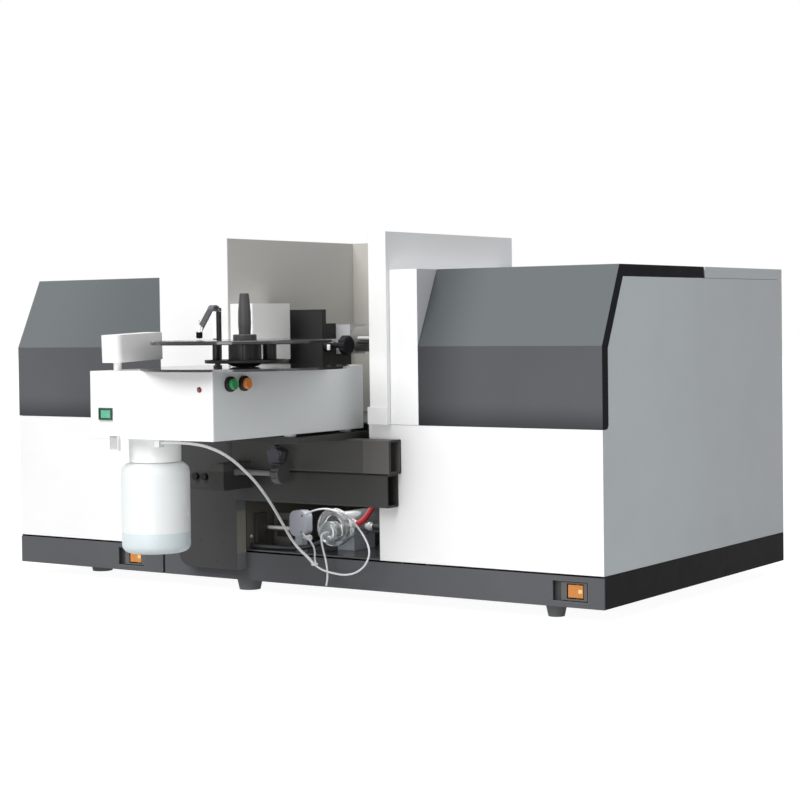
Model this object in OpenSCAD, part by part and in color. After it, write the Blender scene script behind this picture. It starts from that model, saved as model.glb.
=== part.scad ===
// Atomic absorption spectrophotometer with a graphite furnace and a carousel autosampler.
// Millimetres, +Z up. The origin is on the bench, under the middle of the whole machine.
// Depths are counted from the common front plane of the plinth, covers and hoods.

/* [Cabinet] */
// Overall width
body_w = 1000; // [900:10:1100]
// Depth of the cabinets behind the front plane
body_d = 554; // [520:2:600]
// Height of the cabinet top above the bench
body_top = 444; // [440:1:460]
// Height of the rubber feet
foot_h = 18; // [12:1:22]
// Height of the dark plinth
plinth_h = 41; // [38:1:44]
// Sheet thickness of the panels
sheet = 2; // [1.5:0.1:2.4]

/* [Hoods] */
// Height of the lower edge of both hoods
hood_bottom = 240; // [236:1:244]
// Height where the hood starts to lean back
hood_kink = 343; // [330:1:356]
// How far the slanted face leans back
hood_slant = 47.4; // [40:0.2:55]
// Depth of the hood's rear edge
hood_back = 291; // [280:1:292]
// Visible thickness of the hood's cheeks
hood_t = 15; // [13:0.5:17]
// Inner edge of the left hood
left_edge = -214; // [-216:1:-212]
// Inner edge of the right hood
right_edge = 229; // [227:1:231]

/* [Shield] */
// Left outer face of the tall shield
shield_left = -113; // [-114:1:-112]
// Right outer face of the tall shield
shield_right = 185; // [184:1:186]
// Width of the shield's side boxes
shield_box = 30; // [28:1:31]
// Top of the shield above the bench
shield_top = 494; // [470:1:520]
// Rear face of the shield
shield_back = 315; // [312:1:318]

/* [Sampler] */
// Width of the sampler case
sampler_w = 202; // [200:1:204]
// Length of the sampler case
sampler_d = 315; // [310:1:318]
// Height of the sampler case
sampler_h = 85; // [80:1:88]
// Front face of the sampler case
sampler_front = -290; // [-292:1:-288]
// Right face of the sampler case
sampler_right = 124; // [122:1:126]
// Underside of the sampler case above the bench
sampler_z = 233; // [232:1:234]

/* [Carousel] */
// Carousel axis, across
carousel_x = 88; // [86:1:90]
// Carousel axis, in depth
carousel_y = -182; // [-184:1:-180]
// Radius of the smoked drip disc on the case
drip_r = 132; // [128:1:134]
// Radius of the sample tray
tray_r = 119; // [112:1:120]
// Sample seats in the outer ring
outer_seats = 40; // [24:4:44]
// Sample seats in the inner ring
inner_seats = 28; // [16:4:32]

/* [Bottle] */
// Radius of the wash bottle
bottle_r = 43.5; // [40:0.5:44]
// Radius of its screw cap
bottle_cap_r = 33; // [30:0.5:34]

/* [Hidden] */
$fn = 64;

half_w = body_w / 2;
plinth_top = foot_h + plinth_h;
// The machine's front to back middle is at Y = 0
front_y = -(body_d + carousel_y - drip_r) / 2;
// Gap between panels that butt together
seam = 0.4;
// Dark gap between the plinth's face and the covers above it
shadow_gap = 2;
// Radial play of a turning shaft in its bore
play = 0.05;
// Underside of the rear cover's lip and of the hood's cheeks
lip_z = body_top - hood_t;
// Lean of the hood's slanted face from the vertical
lean = atan2(hood_slant, body_top - hood_kink);
// Hood hinge line
hinge_r = hood_t / 2;
hinge_y = hood_back - hinge_r;
hinge_z = body_top - hinge_r;
hinge_pin_r = 2.5;
cheek_t = 3;
// Skin left outside a blind hinge bore
bore_skin = 0.8;
// Corner radii of a cheek: at its foot, and at its upper rear end
cheek_foot_r = 6;
cheek_end_r = 3;
// Slit between a hood's rear edge and the rear cover, for the hood's swing
hood_slit = 4;
// Left edge of the right lower cover
cover_left = 165;
// Light path, along X
beam_y = 162;
beam_z = 351.5;
beam_hole_r = 8;
window_r = 20;
// Decks: upper compartment and lower bay
deck_z = hood_bottom - sheet;
bay_floor_z = plinth_top + sheet;
bay_left = -62;
bay_back = 289;
// Lamp turret
turret_z = beam_z - 52;
turret_ring_r = 52;
turret_r = 78;
lamp_count = 6;
lamp_r = 19;
turret_shaft_r = 8;
// Sampler
case_top = sampler_z + sampler_h;
sampler_left = sampler_right - sampler_w;
sampler_back = sampler_front + sampler_d;
drip_t = 3;
tray_z = case_top + 32;
tray_t = 5;
spindle_r = 6;
// Sampling arm: its post, and the needle in front of it
post_x = -36;
post_y = -87;
post_r = 4;
post_top = 392;
needle_x = -14;
needle_y = -150;
arm_len = norm([needle_x - post_x, needle_y - post_y]);
arm_turn = atan2(needle_y - post_y, needle_x - post_x);
// Push buttons on the right face
button_z = 302;
button_r = 7;
start_y = -258;
stop_y = -231;
// Rocker switches: width, height and centre
rocker_w = 21;
rocker_h = 16;
rocker_pin_y = 9;
rocker_pin_r = 1.5;
switch_z = 38;
right_switch_x = 452;
left_switch_x = -277;
rocker_shift = 6;
sampler_switch_x = -50.5;
sampler_switch_z = 264;
sampler_rocker_w = 16;
sampler_rocker_h = 10.4;
// Sampler support
column_left = -168;
column_right = -62;
rail_front = -27;
rail_low = 132;
rail_mid = 176;
rail_top = 221;
table_t = sampler_z - 4 - rail_top;
adjuster_y = -60;
adjuster_z = 175;
adjuster_r = 4;
clamp_x = 24;
clamp_z = 198;
clamp_stud_r = 3;
// Furnace: its sides, the front housing's depths, and the knob's axis
furnace_left = -67;
furnace_right = -7;
furnace_front = 110;
furnace_step = 143;
furnace_knob_y = 121;
furnace_knob_z = 343;
furnace_stem_r = 4;
// Spray chamber axis
chamber_x = 66;
chamber_z = 95;
chamber_r = 20;
// Bottle axis
bottle_x = -14;
bottle_y = -240;

// Tube routes, in the front plane's frame, with heights from the bench
sample_route = [
  [36, -284, 229], [52, -284, 230], [68, -283, 230], [84, -281, 229], [98, -274, 226], [108, -258, 218],
  [111, -238, 207], [109, -214, 193], [104, -188, 178], [95, -160, 162], [84, -130, 144], [72, -100, 125],
  [61, -70, 104], [56, -50, 87], [60, -39, 73], [69, -34, 63], [80, -34, 54]
];
loop_route = [
  [84, -34, 51], [96, -34, 46], [113, -34, 43], [131, -34, 42], [149, -34, 46], [163, -33, 56],
  [169, -31, 70], [166, -29, 83], [155, -26, 97], [137, -18, 109], [114, -6, 117],
  [90, 8, 120], [63, 22, 121], [38, 34, 118], [18, 43, 113], [4, 48, 107]
];
drain_route = [
  [2, 49, 84], [6, 40, 83], [18, 32, 79], [34, 21, 75], [49, 8, 70], [63, -8, 65], [75, -24, 59], [82, -32, 55]
];
capillary_route = [
  [70, 5, 90], [71, -3, 88], [76, -10, 81], [85, -18, 70], [94, -25, 58], [99, -29, 46],
  [100, -30, 36], [98, -30, 25]
];
red_route = [
  [97, 44, 101], [103, 44, 103], [110, 44, 108], [117, 44, 116], [124, 45, 126], [132, 48, 136],
  [142, 55, 145], [153, 64, 151], [165, 72, 153]
];
black_route = [
  [97, 82, 93], [108, 82, 92], [120, 84, 94], [134, 90, 102], [148, 96, 112], [157, 98, 117], [165, 99, 118]
];
floor_route = [
  [-62, 12, 66], [-53, 11, 65.2], [-34, 11, 65], [-12, 13, 65], [10, 18, 65.2], [28, 27, 67.5],
  [41, 37, 73], [52, 47, 81]
];

// Shared shapes

module at_front() {
  translate([0, front_y, 0]) children();
}

module block(low, high) {
  translate(low) cube(high - low);
}

module rod_x(x0, x1, y, z, r) {
  translate([x0, y, z]) rotate([0, 90, 0]) cylinder(h = x1 - x0, r = r);
}

module rod_y(y0, y1, x, z, r) {
  translate([x, y0, z]) rotate([-90, 0, 0]) cylinder(h = y1 - y0, r = r);
}

module rod_z(z0, z1, x, y, r) {
  translate([x, y, z0]) cylinder(h = z1 - z0, r = r);
}

// A sheet or bar cut to a depth and height outline, from x0 to x1
module side_profile(x0, x1, outline) {
  translate([x0, 0, 0]) rotate([90, 0, 90]) linear_extrude(x1 - x0) polygon(outline);
}

// A turned piece along Y, its outline given as radius and depth
module turned_y(x, z, outline) {
  translate([x, 0, z]) rotate([-90, 0, 0]) rotate_extrude() polygon(outline);
}

// A turned piece along X, its outline given as radius and distance
module turned_x(y, z, outline) {
  translate([0, y, z]) rotate([0, 90, 0]) rotate_extrude() polygon(outline);
}

// A flat rectangle with round corners
module round_rect(low, high, r) {
  translate([low[0] + r, low[1]]) square([high[0] - low[0] - 2 * r, high[1] - low[1]]);
  translate([low[0], low[1] + r]) square([high[0] - low[0], high[1] - low[1] - 2 * r]);
  for (x = [low[0] + r, high[0] - r], y = [low[1] + r, high[1] - r]) translate([x, y]) circle(r);
}

// A plate with round vertical corners
module round_plate(low, high, r) {
  translate([0, 0, low[2]])
    linear_extrude(high[2] - low[2]) round_rect([low[0], low[1]], [high[0], high[1]], r);
}

// A rectangular tube along X with round edges and open ends
module box_tube_x(low, high, wall, r) {
  difference() {
    translate([low[0], 0, 0]) rotate([90, 0, 90])
      linear_extrude(high[0] - low[0]) round_rect([low[1], low[2]], [high[1], high[2]], r);
    block(low + [-1, wall, wall], high + [1, -wall, -wall]);
  }
}

// The hood's outline moved inwards by o, from its bottom to depth y1
function hood_line(o, bottom, y1) = [
  [o, bottom],
  [o, hood_kink - o * tan(lean / 2)],
  [hood_slant + o * tan((90 - lean) / 2), body_top - o],
  [y1, body_top - o]
];

function reversed(list) = [for (i = [len(list) - 1 : -1 : 0]) list[i]];

function hood_band(o0, o1, bottom, y1) =
  concat(hood_line(o0, bottom, y1), reversed(hood_line(o1, bottom, y1)));

// A smooth curve through route points, with a few steps for each stretch
function route_point(p, i) = p[max(0, min(len(p) - 1, i))];

function curve_point(p, i, t) =
  let (a = route_point(p, i - 1), b = route_point(p, i), c = route_point(p, i + 1), d = route_point(p, i + 2))
  0.5 * (2 * b + (c - a) * t + (2 * a - 5 * b + 4 * c - d) * t * t + (3 * b - a - 3 * c + d) * t * t * t);

function smooth_route(p, steps) = concat(
  [for (i = [0 : len(p) - 2], s = [0 : steps - 1]) curve_point(p, i, s / steps)],
  [p[len(p) - 1]]
);

function unit(v) = v / norm(v);

// A round flexible tube swept along a route
module swept_tube(route, r, steps, sides) {
  p = smooth_route(route, steps);
  n = len(p);
  side_ref = [0, 1, 0];
  rings = [
    for (i = [0 : n - 1])
      let (
        along = unit(p[min(n - 1, i + 1)] - p[max(0, i - 1)]),
        across = unit(cross(along, side_ref)),
        over = cross(across, along)
      )
      for (k = [0 : sides - 1]) p[i] + r * (cos(360 * k / sides) * across + sin(360 * k / sides) * over)
  ];
  walls = [
    for (i = [0 : n - 2], k = [0 : sides - 1])
      let (a = i * sides + k, b = i * sides + (k + 1) % sides)
      each [[a, b, b + sides], [a, b + sides, a + sides]]
  ];
  start_cap = [for (k = [1 : sides - 2]) [0, k + 1, k]];
  last = (n - 1) * sides;
  end_cap = [for (k = [1 : sides - 2]) [last, last + k, last + k + 1]];
  polyhedron(points = rings, faces = [for (f = concat(walls, start_cap, end_cap)) [f[0], f[2], f[1]]]);
}

// Chassis and cabinets

module base_pan() {
  color("#3a3a3c") at_front() difference() {
    block([-half_w, sheet, foot_h], [half_w, body_d, plinth_top]);
    block([-half_w + sheet, 0, foot_h + sheet], [half_w - sheet, body_d - sheet, plinth_top + 1]);
  }
}

module switch_cutout(x) {
  block([x - 26.5, -1, switch_z - 14], [x + 26.5, sheet + 1, switch_z + 14]);
}

module plinth_fascias() {
  color("#606164") at_front() difference() {
    union() {
      block([-half_w, 0, foot_h], [left_edge - sheet, sheet, plinth_top - shadow_gap]);
      block([left_edge + sheet, 0, foot_h], [half_w, sheet, plinth_top - shadow_gap]);
    }
    switch_cutout(left_switch_x);
    switch_cutout(right_switch_x);
  }
}

module feet() {
  rear_y = body_d - 44;
  wide_r = 19;
  narrow_r = 14.5;
  taper = 4;
  color("#454548") at_front()
    for (p = [[-413, 84, wide_r], [-86, 37, wide_r], [412, 36, narrow_r],
              [-413, rear_y, wide_r], [-86, rear_y, wide_r], [412, rear_y, narrow_r]])
      translate([p[0], p[1], 0]) cylinder(h = foot_h, r1 = p[2] - taper, r2 = p[2]);
}

// A lower front cover: its face, and the folded ledge under the hood
module lower_cover(x0, x1) {
  top = hood_bottom - seam;
  block([x0, 0, plinth_top + seam], [x1, sheet, top]);
  block([x0 + 3, sheet, top - sheet], [x1 - 3, hood_t + 1, top]);
}

module left_lower_cover() {
  color("white") at_front() lower_cover(-half_w, left_edge - seam);
}

module right_lower_cover() {
  color("white") at_front() {
    lower_cover(cover_left, half_w);
    block([cover_left - 15, 0, 215], [cover_left, sheet, hood_bottom - seam]);
  }
}

// A flat cabinet side, cut away along the hood's cheek and filled round the cheek's foot
module side_panel(x0) {
  o = hood_t + seam;
  low = hood_bottom - seam;
  fillet = cheek_foot_r + seam;
  cut = hood_line(o, low, hood_back);
  side_profile(x0, x0 + sheet, [
    [sheet + 0.2, plinth_top + seam], [body_d, plinth_top + seam], [body_d, lip_z - seam],
    cut[2], cut[1], cut[0], [sheet + 0.2, low]
  ]);
  difference() {
    block([x0, o - fillet, low], [x0 + sheet, o, low + fillet]);
    rod_x(x0 - 1, x0 + sheet + 1, o - fillet, low + fillet, fillet);
  }
}

module left_side_panel() {
  color("#9aa0a2") at_front() side_panel(-half_w);
}

module right_side_panel() {
  color("#9aa0a2") at_front() side_panel(half_w - sheet);
}

module rear_top_cover() {
  y0 = hood_back + hood_slit;
  color("#a4a6aa") at_front() difference() {
    union() {
      block([-half_w, y0, body_top - sheet], [half_w, body_d, body_top]);
      block([-half_w, y0, lip_z], [-half_w + sheet, body_d, body_top]);
      block([half_w - sheet, y0, lip_z], [half_w, body_d, body_top]);
      block([-half_w, body_d - sheet, lip_z], [half_w, body_d, body_top]);
    }
    block([shield_left - 3, y0 - 1, lip_z - 1], [shield_right + 3, shield_back + 3, body_top + 1]);
  }
}

module rear_panel() {
  louvre_pitch = 14;
  color("#9aa0a2") at_front() difference() {
    block([-half_w + sheet + 0.2, body_d - sheet, plinth_top + seam],
          [half_w - sheet - 0.2, body_d, lip_z - seam]);
    for (x = [-440, -360, 290, 370], row = [0 : 9])
      block([x, body_d - 5, 250 + row * louvre_pitch], [x + 70, body_d + 1, 255 + row * louvre_pitch]);
    block([-424, body_d - 5, 96], [-396, body_d + 1, 116]);
    for (x = [60, 100, 140]) rod_y(body_d - 5, body_d + 1, x, 110, 7);
  }
}

// Mains inlet and three gas ports, flush with the rear panel
module rear_inlet() {
  color("#2a2a2c") at_front() {
    difference() {
      union() {
        block([-424, body_d - 18, 96], [-396, body_d, 116]);
        block([-428, body_d - 6, 92], [-392, body_d - sheet, 120]);
      }
      block([-421, body_d - 12, 99], [-399, body_d + 1, 113]);
    }
    for (x = [60, 100, 140]) {
      rod_y(body_d - 16, body_d, x, 110, 7);
      rod_y(body_d - 8, body_d - sheet, x, 110, 11);
    }
  }
}

// White pillar beside the shield, with the wall that closes the lamp bay
module left_pillar() {
  color("white") at_front() difference() {
    union() {
      block([left_edge, 0, plinth_top + seam], [shield_left - seam, sheet, body_top]);
      block([left_edge, 0, body_top - sheet], [shield_left - seam, hood_back, body_top]);
      block([left_edge, sheet, foot_h + sheet], [left_edge + sheet, body_d - sheet - 0.2, body_top - sheet]);
    }
    rod_x(left_edge - 1, left_edge + sheet + 1, beam_y, beam_z, window_r);
  }
}

module right_pillar() {
  color("white") at_front() difference() {
    union() {
      block([shield_right + seam, 0, hood_bottom], [right_edge, sheet, body_top]);
      block([shield_right + seam, 0, body_top - sheet], [right_edge, hood_back, body_top]);
      block([right_edge - sheet, 0, hood_bottom], [right_edge, body_d - sheet - 0.2, body_top - sheet]);
      block([right_edge - sheet, hood_t + 2, foot_h + sheet],
            [right_edge, body_d - sheet - 0.2, hood_bottom]);
    }
    rod_x(right_edge - sheet - 1, right_edge + 1, beam_y, beam_z, window_r);
  }
}

// One hollow wall of the shield, open below
module shield_wall(low, high) {
  wall = 1.5;
  difference() {
    block(low, high);
    block(low + [wall, wall, -1], high - [wall, wall, wall]);
  }
}

module shield() {
  y0 = -7;
  rear_t = 24;
  inner_left = shield_left + shield_box + 1;
  inner_right = shield_right - shield_box + 2;
  color("#c6c6c4") at_front() {
    difference() {
      union() {
        shield_wall([shield_left, y0, hood_bottom], [inner_left, shield_back, shield_top]);
        shield_wall([inner_right, y0, hood_bottom], [shield_right, shield_back, shield_top]);
        block([inner_right - 3.5, y0 - 1, hood_bottom], [shield_right, 20, hood_bottom + 23]);
      }
      rod_x(shield_left - 1, shield_right + 1, beam_y, beam_z, beam_hole_r);
    }
    shield_wall([inner_left + 0.2, shield_back - rear_t, hood_bottom],
                [inner_right - 0.2, shield_back, shield_top]);
  }
}

module compartment_deck() {
  color("#8a8a8a") at_front() block([shield_left, 32, deck_z], [shield_right, shield_back, hood_bottom]);
}

// Side and rear walls of the lower bay; the left one is cut low in front, under the table
module bay_walls() {
  table_notch_y = 36;
  color("#6d6b66") at_front() {
    difference() {
      side_profile(bay_left - sheet, bay_left, [
        [sheet + seam, bay_floor_z], [bay_back, bay_floor_z], [bay_back, deck_z],
        [table_notch_y, deck_z], [table_notch_y, 200], [sheet + seam, 200]
      ]);
      for (y = [80, 150, 220])
        translate([bay_left - sheet - 1, y, 150]) cube([sheet + 2, 12, 50]);
    }
    block([cover_left, sheet + 0.6, bay_floor_z], [cover_left + sheet, bay_back, deck_z]);
    block([bay_left + 0.2, bay_back - sheet, bay_floor_z], [cover_left - 0.2, bay_back, deck_z]);
  }
}

// Drip tray of the lower bay, on two folded legs
module bay_floor() {
  color("#4a4a4a") at_front() {
    block([-110, sheet + seam, plinth_top], [200, bay_back + 6, bay_floor_z]);
    block([-110, sheet + seam, foot_h + sheet], [-110 + sheet, bay_back + 6, plinth_top]);
    block([200 - sheet, sheet + seam, foot_h + sheet], [200, bay_back + 6, plinth_top]);
  }
}

// Hoods and their hinges

// Rear end of a hood: round about the hinge line below, a small radius above
module hood_end(x0, x1) {
  rod_x(x0, x1, hinge_y, hinge_z, hinge_r);
  block([x0, hinge_y, hinge_z], [x1, hood_back - cheek_end_r, body_top]);
  block([x0, hinge_y, hinge_z], [x1, hood_back, body_top - cheek_end_r]);
  rod_x(x0, x1, hood_back - cheek_end_r, body_top - cheek_end_r, cheek_end_r);
}

// What a round foot of the cheeks leaves off, at their lower rear corner
module hood_foot_cut(x0, x1) {
  y = hood_t - cheek_foot_r;
  z = hood_bottom + cheek_foot_r;
  difference() {
    block([x0 - 1, y, hood_bottom - 1], [x1 + 1, hood_t + 1, z]);
    rod_x(x0 - 2, x1 + 2, y, z, cheek_foot_r);
  }
}

// A folded hood: outer skin, two cheeks with hinge bores, and a lower return.
// A bore stops short of the cheek's outside by the skin given for its end.
module hood(x0, x1, left_skin, right_skin) {
  bore_r = hinge_pin_r + play;
  difference() {
    union() {
      side_profile(x0, x1, hood_band(0, hood_t, hood_bottom, hinge_y));
      hood_end(x0, x1);
    }
    side_profile(x0 + cheek_t, x1 - cheek_t,
                 hood_band(sheet, hood_t + 1, hood_bottom + sheet, hood_back + 1));
    hood_foot_cut(x0, x1);
    rod_x(x0 + left_skin, x0 + cheek_t + 1, hinge_y, hinge_z, bore_r);
    rod_x(x1 - cheek_t - 1, x1 - right_skin, hinge_y, hinge_z, bore_r);
  }
}

module left_hood() {
  color("#787d80") at_front() hood(-half_w, left_edge - seam, bore_skin, -1);
}

module right_hood() {
  color("#787d80") at_front() hood(right_edge + seam, half_w, -1, bore_skin);
}

// Hinge bracket on the inside of a cabinet side, drawn for the left one
module hinge_bracket() {
  x0 = -half_w + sheet;
  block([x0, hinge_y - 4, 395], [x0 + 3.6, hinge_y + 4, lip_z - 5]);
  block([x0 + 1.6, hinge_y - 4, lip_z - 5], [x0 + 3.6, hinge_y + 4, hinge_z]);
  rod_x(x0 + 1.6, x0 + 3.6, hinge_y, hinge_z, 4.5);
  rod_x(-half_w + bore_skin + 0.2, x0 + 1.6, hinge_y, hinge_z, hinge_pin_r);
}

module hinge_pins() {
  color("silver") at_front() {
    hinge_bracket();
    mirror([1, 0, 0]) hinge_bracket();
    rod_x(left_edge - seam - cheek_t + 0.4, left_edge, hinge_y, hinge_z, hinge_pin_r);
    rod_x(right_edge, right_edge + seam + cheek_t - 0.4, hinge_y, hinge_z, hinge_pin_r);
  }
}

// Rocker switches

// Recessed pocket with a raised frame round the rocker, centred on the origin's X and Z
module plinth_switch_frame() {
  difference() {
    union() {
      block([-26.5, 0, -14], [26.5, 14, 14]);
      block([-28.5, sheet, -15.5], [28.5, sheet + 2, 15.5]);
    }
    difference() {
      block([-24.8, -1, -12.5], [24.8, 6, 12.5]);
      block([rocker_shift - 20, 2.5, -11.6], [rocker_shift + 16.5, 7, 11.6]);
    }
    block([rocker_shift - 12, -1, -9.5], [rocker_shift + 12, 13, 9.5]);
    rod_z(-11, 11, rocker_shift, rocker_pin_y, rocker_pin_r + play);
  }
}

// A rocker with a shallow V front and a pivot pin, on the origin's X and Z
module rocker(w, h, front, pin_len) {
  translate([0, 0, -h / 2]) linear_extrude(h) polygon([
    [-w / 2, front], [0, front + 1.2], [w / 2, front], [w / 2, 8], [4, 11], [-4, 11], [-w / 2, 8]
  ]);
  rod_z(-pin_len / 2, pin_len / 2, 0, rocker_pin_y, rocker_pin_r);
}

module sampler_switch_frame() {
  difference() {
    union() {
      block([-11, 0, -7.6], [11, 2.5, 7.6]);
      block([-10, 2.5, -7], [10, 15, 7]);
    }
    block([-9.2, -1, -5.8], [9.2, 14, 5.8]);
    rod_z(-6.6, 6.6, 0, rocker_pin_y, rocker_pin_r + play);
  }
}

module switch_frames() {
  color("#2c2d30") at_front() {
    for (x = [left_switch_x, right_switch_x]) translate([x, 0, switch_z]) plinth_switch_frame();
    translate([sampler_switch_x, sampler_front - 2.5, sampler_switch_z]) sampler_switch_frame();
  }
}

module plinth_rocker(x) {
  translate([x + rocker_shift, 0, switch_z]) rocker(rocker_w, rocker_h, 3, 21.6);
}

module left_rocker() {
  color("#d9923a") at_front() plinth_rocker(left_switch_x);
}

module right_rocker() {
  color("#d9923a") at_front() plinth_rocker(right_switch_x);
}

module sampler_rocker() {
  color("#5fb08f") at_front() translate([sampler_switch_x, sampler_front - 2.5, sampler_switch_z])
    rocker(sampler_rocker_w, sampler_rocker_h, 1, 12.8);
}

// Inside the cabinets

// Two plates on a shaft that carry the lamps round
module lamp_turret() {
  color("#b8babc") at_front() difference() {
    union() {
      rod_x(-450, -318, beam_y, turret_z, turret_shaft_r);
      rod_x(-400, -394, beam_y, turret_z, turret_r);
      rod_x(-340, -334, beam_y, turret_z, turret_r);
    }
    for (i = [0 : lamp_count - 1])
      translate([0, beam_y, turret_z]) rotate([360 * i / lamp_count, 0, 0])
        rod_x(-410, -320, 0, turret_ring_r, lamp_r + 0.2);
  }
}

// Hollow cathode lamps: socket, seat flange, bulb and stepped window end
module lamps() {
  color("#d8dde0", 0.7) at_front()
    for (i = [0 : lamp_count - 1])
      translate([0, beam_y, turret_z]) rotate([360 * i / lamp_count, 0, 0])
        turned_x(0, turret_ring_r, [
          [0, -430], [15, -430], [16, -428], [16, -406], [21.5, -406], [21.5, -400], [lamp_r, -400],
          [lamp_r, -312], [17, -304], [12.5, -300], [12.5, -281], [0, -281]
        ]);
}

// Bearing stand and stepper motor of the turret
module turret_drive() {
  color("#55585c") at_front() difference() {
    union() {
      block([-452, beam_y - 40, foot_h + sheet], [-436, beam_y + 40, turret_z + 30]);
      block([-484, beam_y - 21, turret_z - 21], [-452, beam_y + 21, turret_z + 21]);
      block([-470, beam_y - 60, foot_h + sheet], [-420, beam_y + 60, foot_h + sheet + 6]);
    }
    rod_x(-453, -435, beam_y, turret_z, turret_shaft_r + play);
  }
}

// Lamp supply on the left, control electronics on the right
module power_unit() {
  color("#7b7f84") at_front() {
    block([-480, 330, foot_h + sheet], [-240, 530, 190]);
    block([245, 80, foot_h + sheet], [475, 400, 200]);
  }
}

// Cast box of the optics, with its entry snout towards the light path
module monochromator() {
  color("#3c3e42") at_front() {
    round_plate([240, 76, 200], [480, 400, 396], 12);
    round_plate([236, 72, 396], [484, 404, 404], 12);
    rod_x(right_edge + 3, 245, beam_y, beam_z, 15);
  }
}

module detector() {
  color("#9fa3a6") at_front() {
    round_plate([310, 400, 270], [390, 480, 380], 6);
    rod_y(480, 500, 350, 325, 18);
  }
}

// Upper compartment

module wall_housing() {
  color("white") at_front()
    round_plate([shield_left + shield_box + 1, -4, 324], [-42, 82, 403], 1.5);
}

// Furnace: stepped front housing with the knob's boss, and the block behind it,
// which the light path crosses and a dosing well opens from above
module furnace_body() {
  well_x = -38;
  block_top = 372;
  color("#2b2b2c") at_front() difference() {
    union() {
      side_profile(furnace_left, furnace_right, [
        [furnace_front, hood_bottom], [furnace_front, 394], [furnace_front + 9.5, 394],
        [furnace_front + 9.5, 374], [furnace_step, 374], [furnace_step, block_top], [180, block_top],
        [180, hood_bottom]
      ]);
      rod_x(furnace_right, furnace_right + 10, furnace_knob_y, furnace_knob_z, 9);
    }
    rod_x(furnace_left - 1, furnace_right + 1, beam_y, beam_z, beam_hole_r);
    rod_z(beam_z, block_top + 1, well_x, beam_y, 3);
    rod_z(block_top - 6, block_top + 1, well_x, beam_y, 11);
    rod_x(furnace_right - 14, furnace_right + 11, furnace_knob_y, furnace_knob_z, furnace_stem_r + play);
    for (z = [262 : 12 : 322]) block([furnace_left - 1, 150, z], [furnace_left + 12, 181, z + 5]);
  }
}

// Contact block beside the furnace with its wide window tube, and two gas pipes from the wall
module furnace_contact() {
  right_wall = shield_right - shield_box + 2;
  block_right = 18;
  color("#9a9b9d") at_front() {
    difference() {
      union() {
        block([furnace_right, furnace_step, 330], [block_right, 180, 372]);
        rod_x(block_right, right_wall, beam_y, beam_z, 18.5);
      }
      rod_x(furnace_right - 1, right_wall + 1, beam_y, beam_z, beam_hole_r);
    }
    rod_x(36, right_wall, 138, 352.5, 2.5);
    rod_x(34, right_wall, 139, 346.5, 2);
  }
}

// A scalloped thumb knob turned along X: stem from x0, cone, grip from x1 to x2
module thumb_knob(x0, x1, x2, y, z, stem_r, grip_r) {
  notches = 10;
  difference() {
    turned_x(y, z, [
      [0, x0], [stem_r, x0], [stem_r, x1 - 8], [grip_r * 0.55, x1], [grip_r - 1, x1], [grip_r, x1 + 1],
      [grip_r, x2 - 1.5], [grip_r - 1.5, x2], [0, x2]
    ]);
    for (i = [0 : notches - 1])
      translate([0, y, z]) rotate([360 * i / notches, 0, 0]) rod_x(x1 - 1, x2 + 1, 0, grip_r + 0.8, 2.2);
  }
}

module furnace_knob() {
  color("#1d1d1f") at_front() thumb_knob(furnace_right - 12, 22, 32, furnace_knob_y, furnace_knob_z,
                                              furnace_stem_r, 14);
}

// Sampler support

// Shallow cover plate of the support, with a round lower corner, and its upper plate
module support_column() {
  corner = 22;
  front = -20;
  bottom = 34;
  middle = 144;
  color("#4c4c4c") at_front() {
    rotate([90, 0, 0]) linear_extrude(-front) {
      translate([column_left + corner, bottom]) square([column_right - column_left - corner, middle - bottom]);
      translate([column_left, bottom + corner]) square([corner, middle - bottom - corner]);
      intersection() {
        translate([column_left, bottom]) square(corner);
        translate([column_left + corner, bottom + corner]) circle(corner);
      }
    }
    block([column_left, front + 4, middle], [column_right, 0, 215]);
    for (x = [-136, -120]) rod_y(front - 2, front + 4, x, 162, 5);
  }
}

// Two open box rails, the sleeve on the upper one's end and the adjuster's bearing block
module support_rails() {
  edge_r = 3;
  wall = 3;
  color("#414140") at_front() difference() {
    union() {
      box_tube_x([column_right, rail_front, rail_low], [196, 0, rail_mid], wall, edge_r);
      box_tube_x([column_right, rail_front, rail_mid], [201, 0, rail_top], wall, edge_r);
      block([160, rail_front - 1.5, rail_mid + 1], [201, rail_front, rail_top - 1]);
      block([-55, -87, adjuster_z - 24], [-29, rail_front, adjuster_z + 12]);
    }
    rod_x(-56, -28, adjuster_y, adjuster_z, adjuster_r + play);
    rod_y(rail_front - 1, rail_front + 4, clamp_x, clamp_z, clamp_stud_r + play);
  }
}

module table_plate() {
  color("#38393b") at_front() difference() {
    block([-80, -130, rail_top], [130, 30, rail_top + table_t]);
    for (x = [-40, 90]) translate([x, -70, rail_top - 1]) cylinder(h = table_t + 2, r = 4);
  }
}

// Adjuster spindle with its collar against the bearing block
module adjuster_knob() {
  color("#4a4a4c") at_front() {
    thumb_knob(-54, 40, 52, adjuster_y, adjuster_z, adjuster_r, 14.5);
    rod_x(-28.6, -26, adjuster_y, adjuster_z, 6);
  }
}

// Star knob that clamps the table, on a stud into the upper rail
module clamp_knob() {
  lobes = 5;
  color("#303136") at_front() {
    rod_y(-46, rail_front - 4, clamp_x, clamp_z, 10);
    for (i = [0 : lobes - 1])
      translate([clamp_x, 0, clamp_z]) rotate([0, 360 * i / lobes, 0]) rod_y(-45, rail_front - 7, 0, 9.5, 3.8);
    rod_y(rail_front - 4, rail_front + 8, clamp_x, clamp_z, clamp_stud_r);
  }
}

// Autosampler

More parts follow.
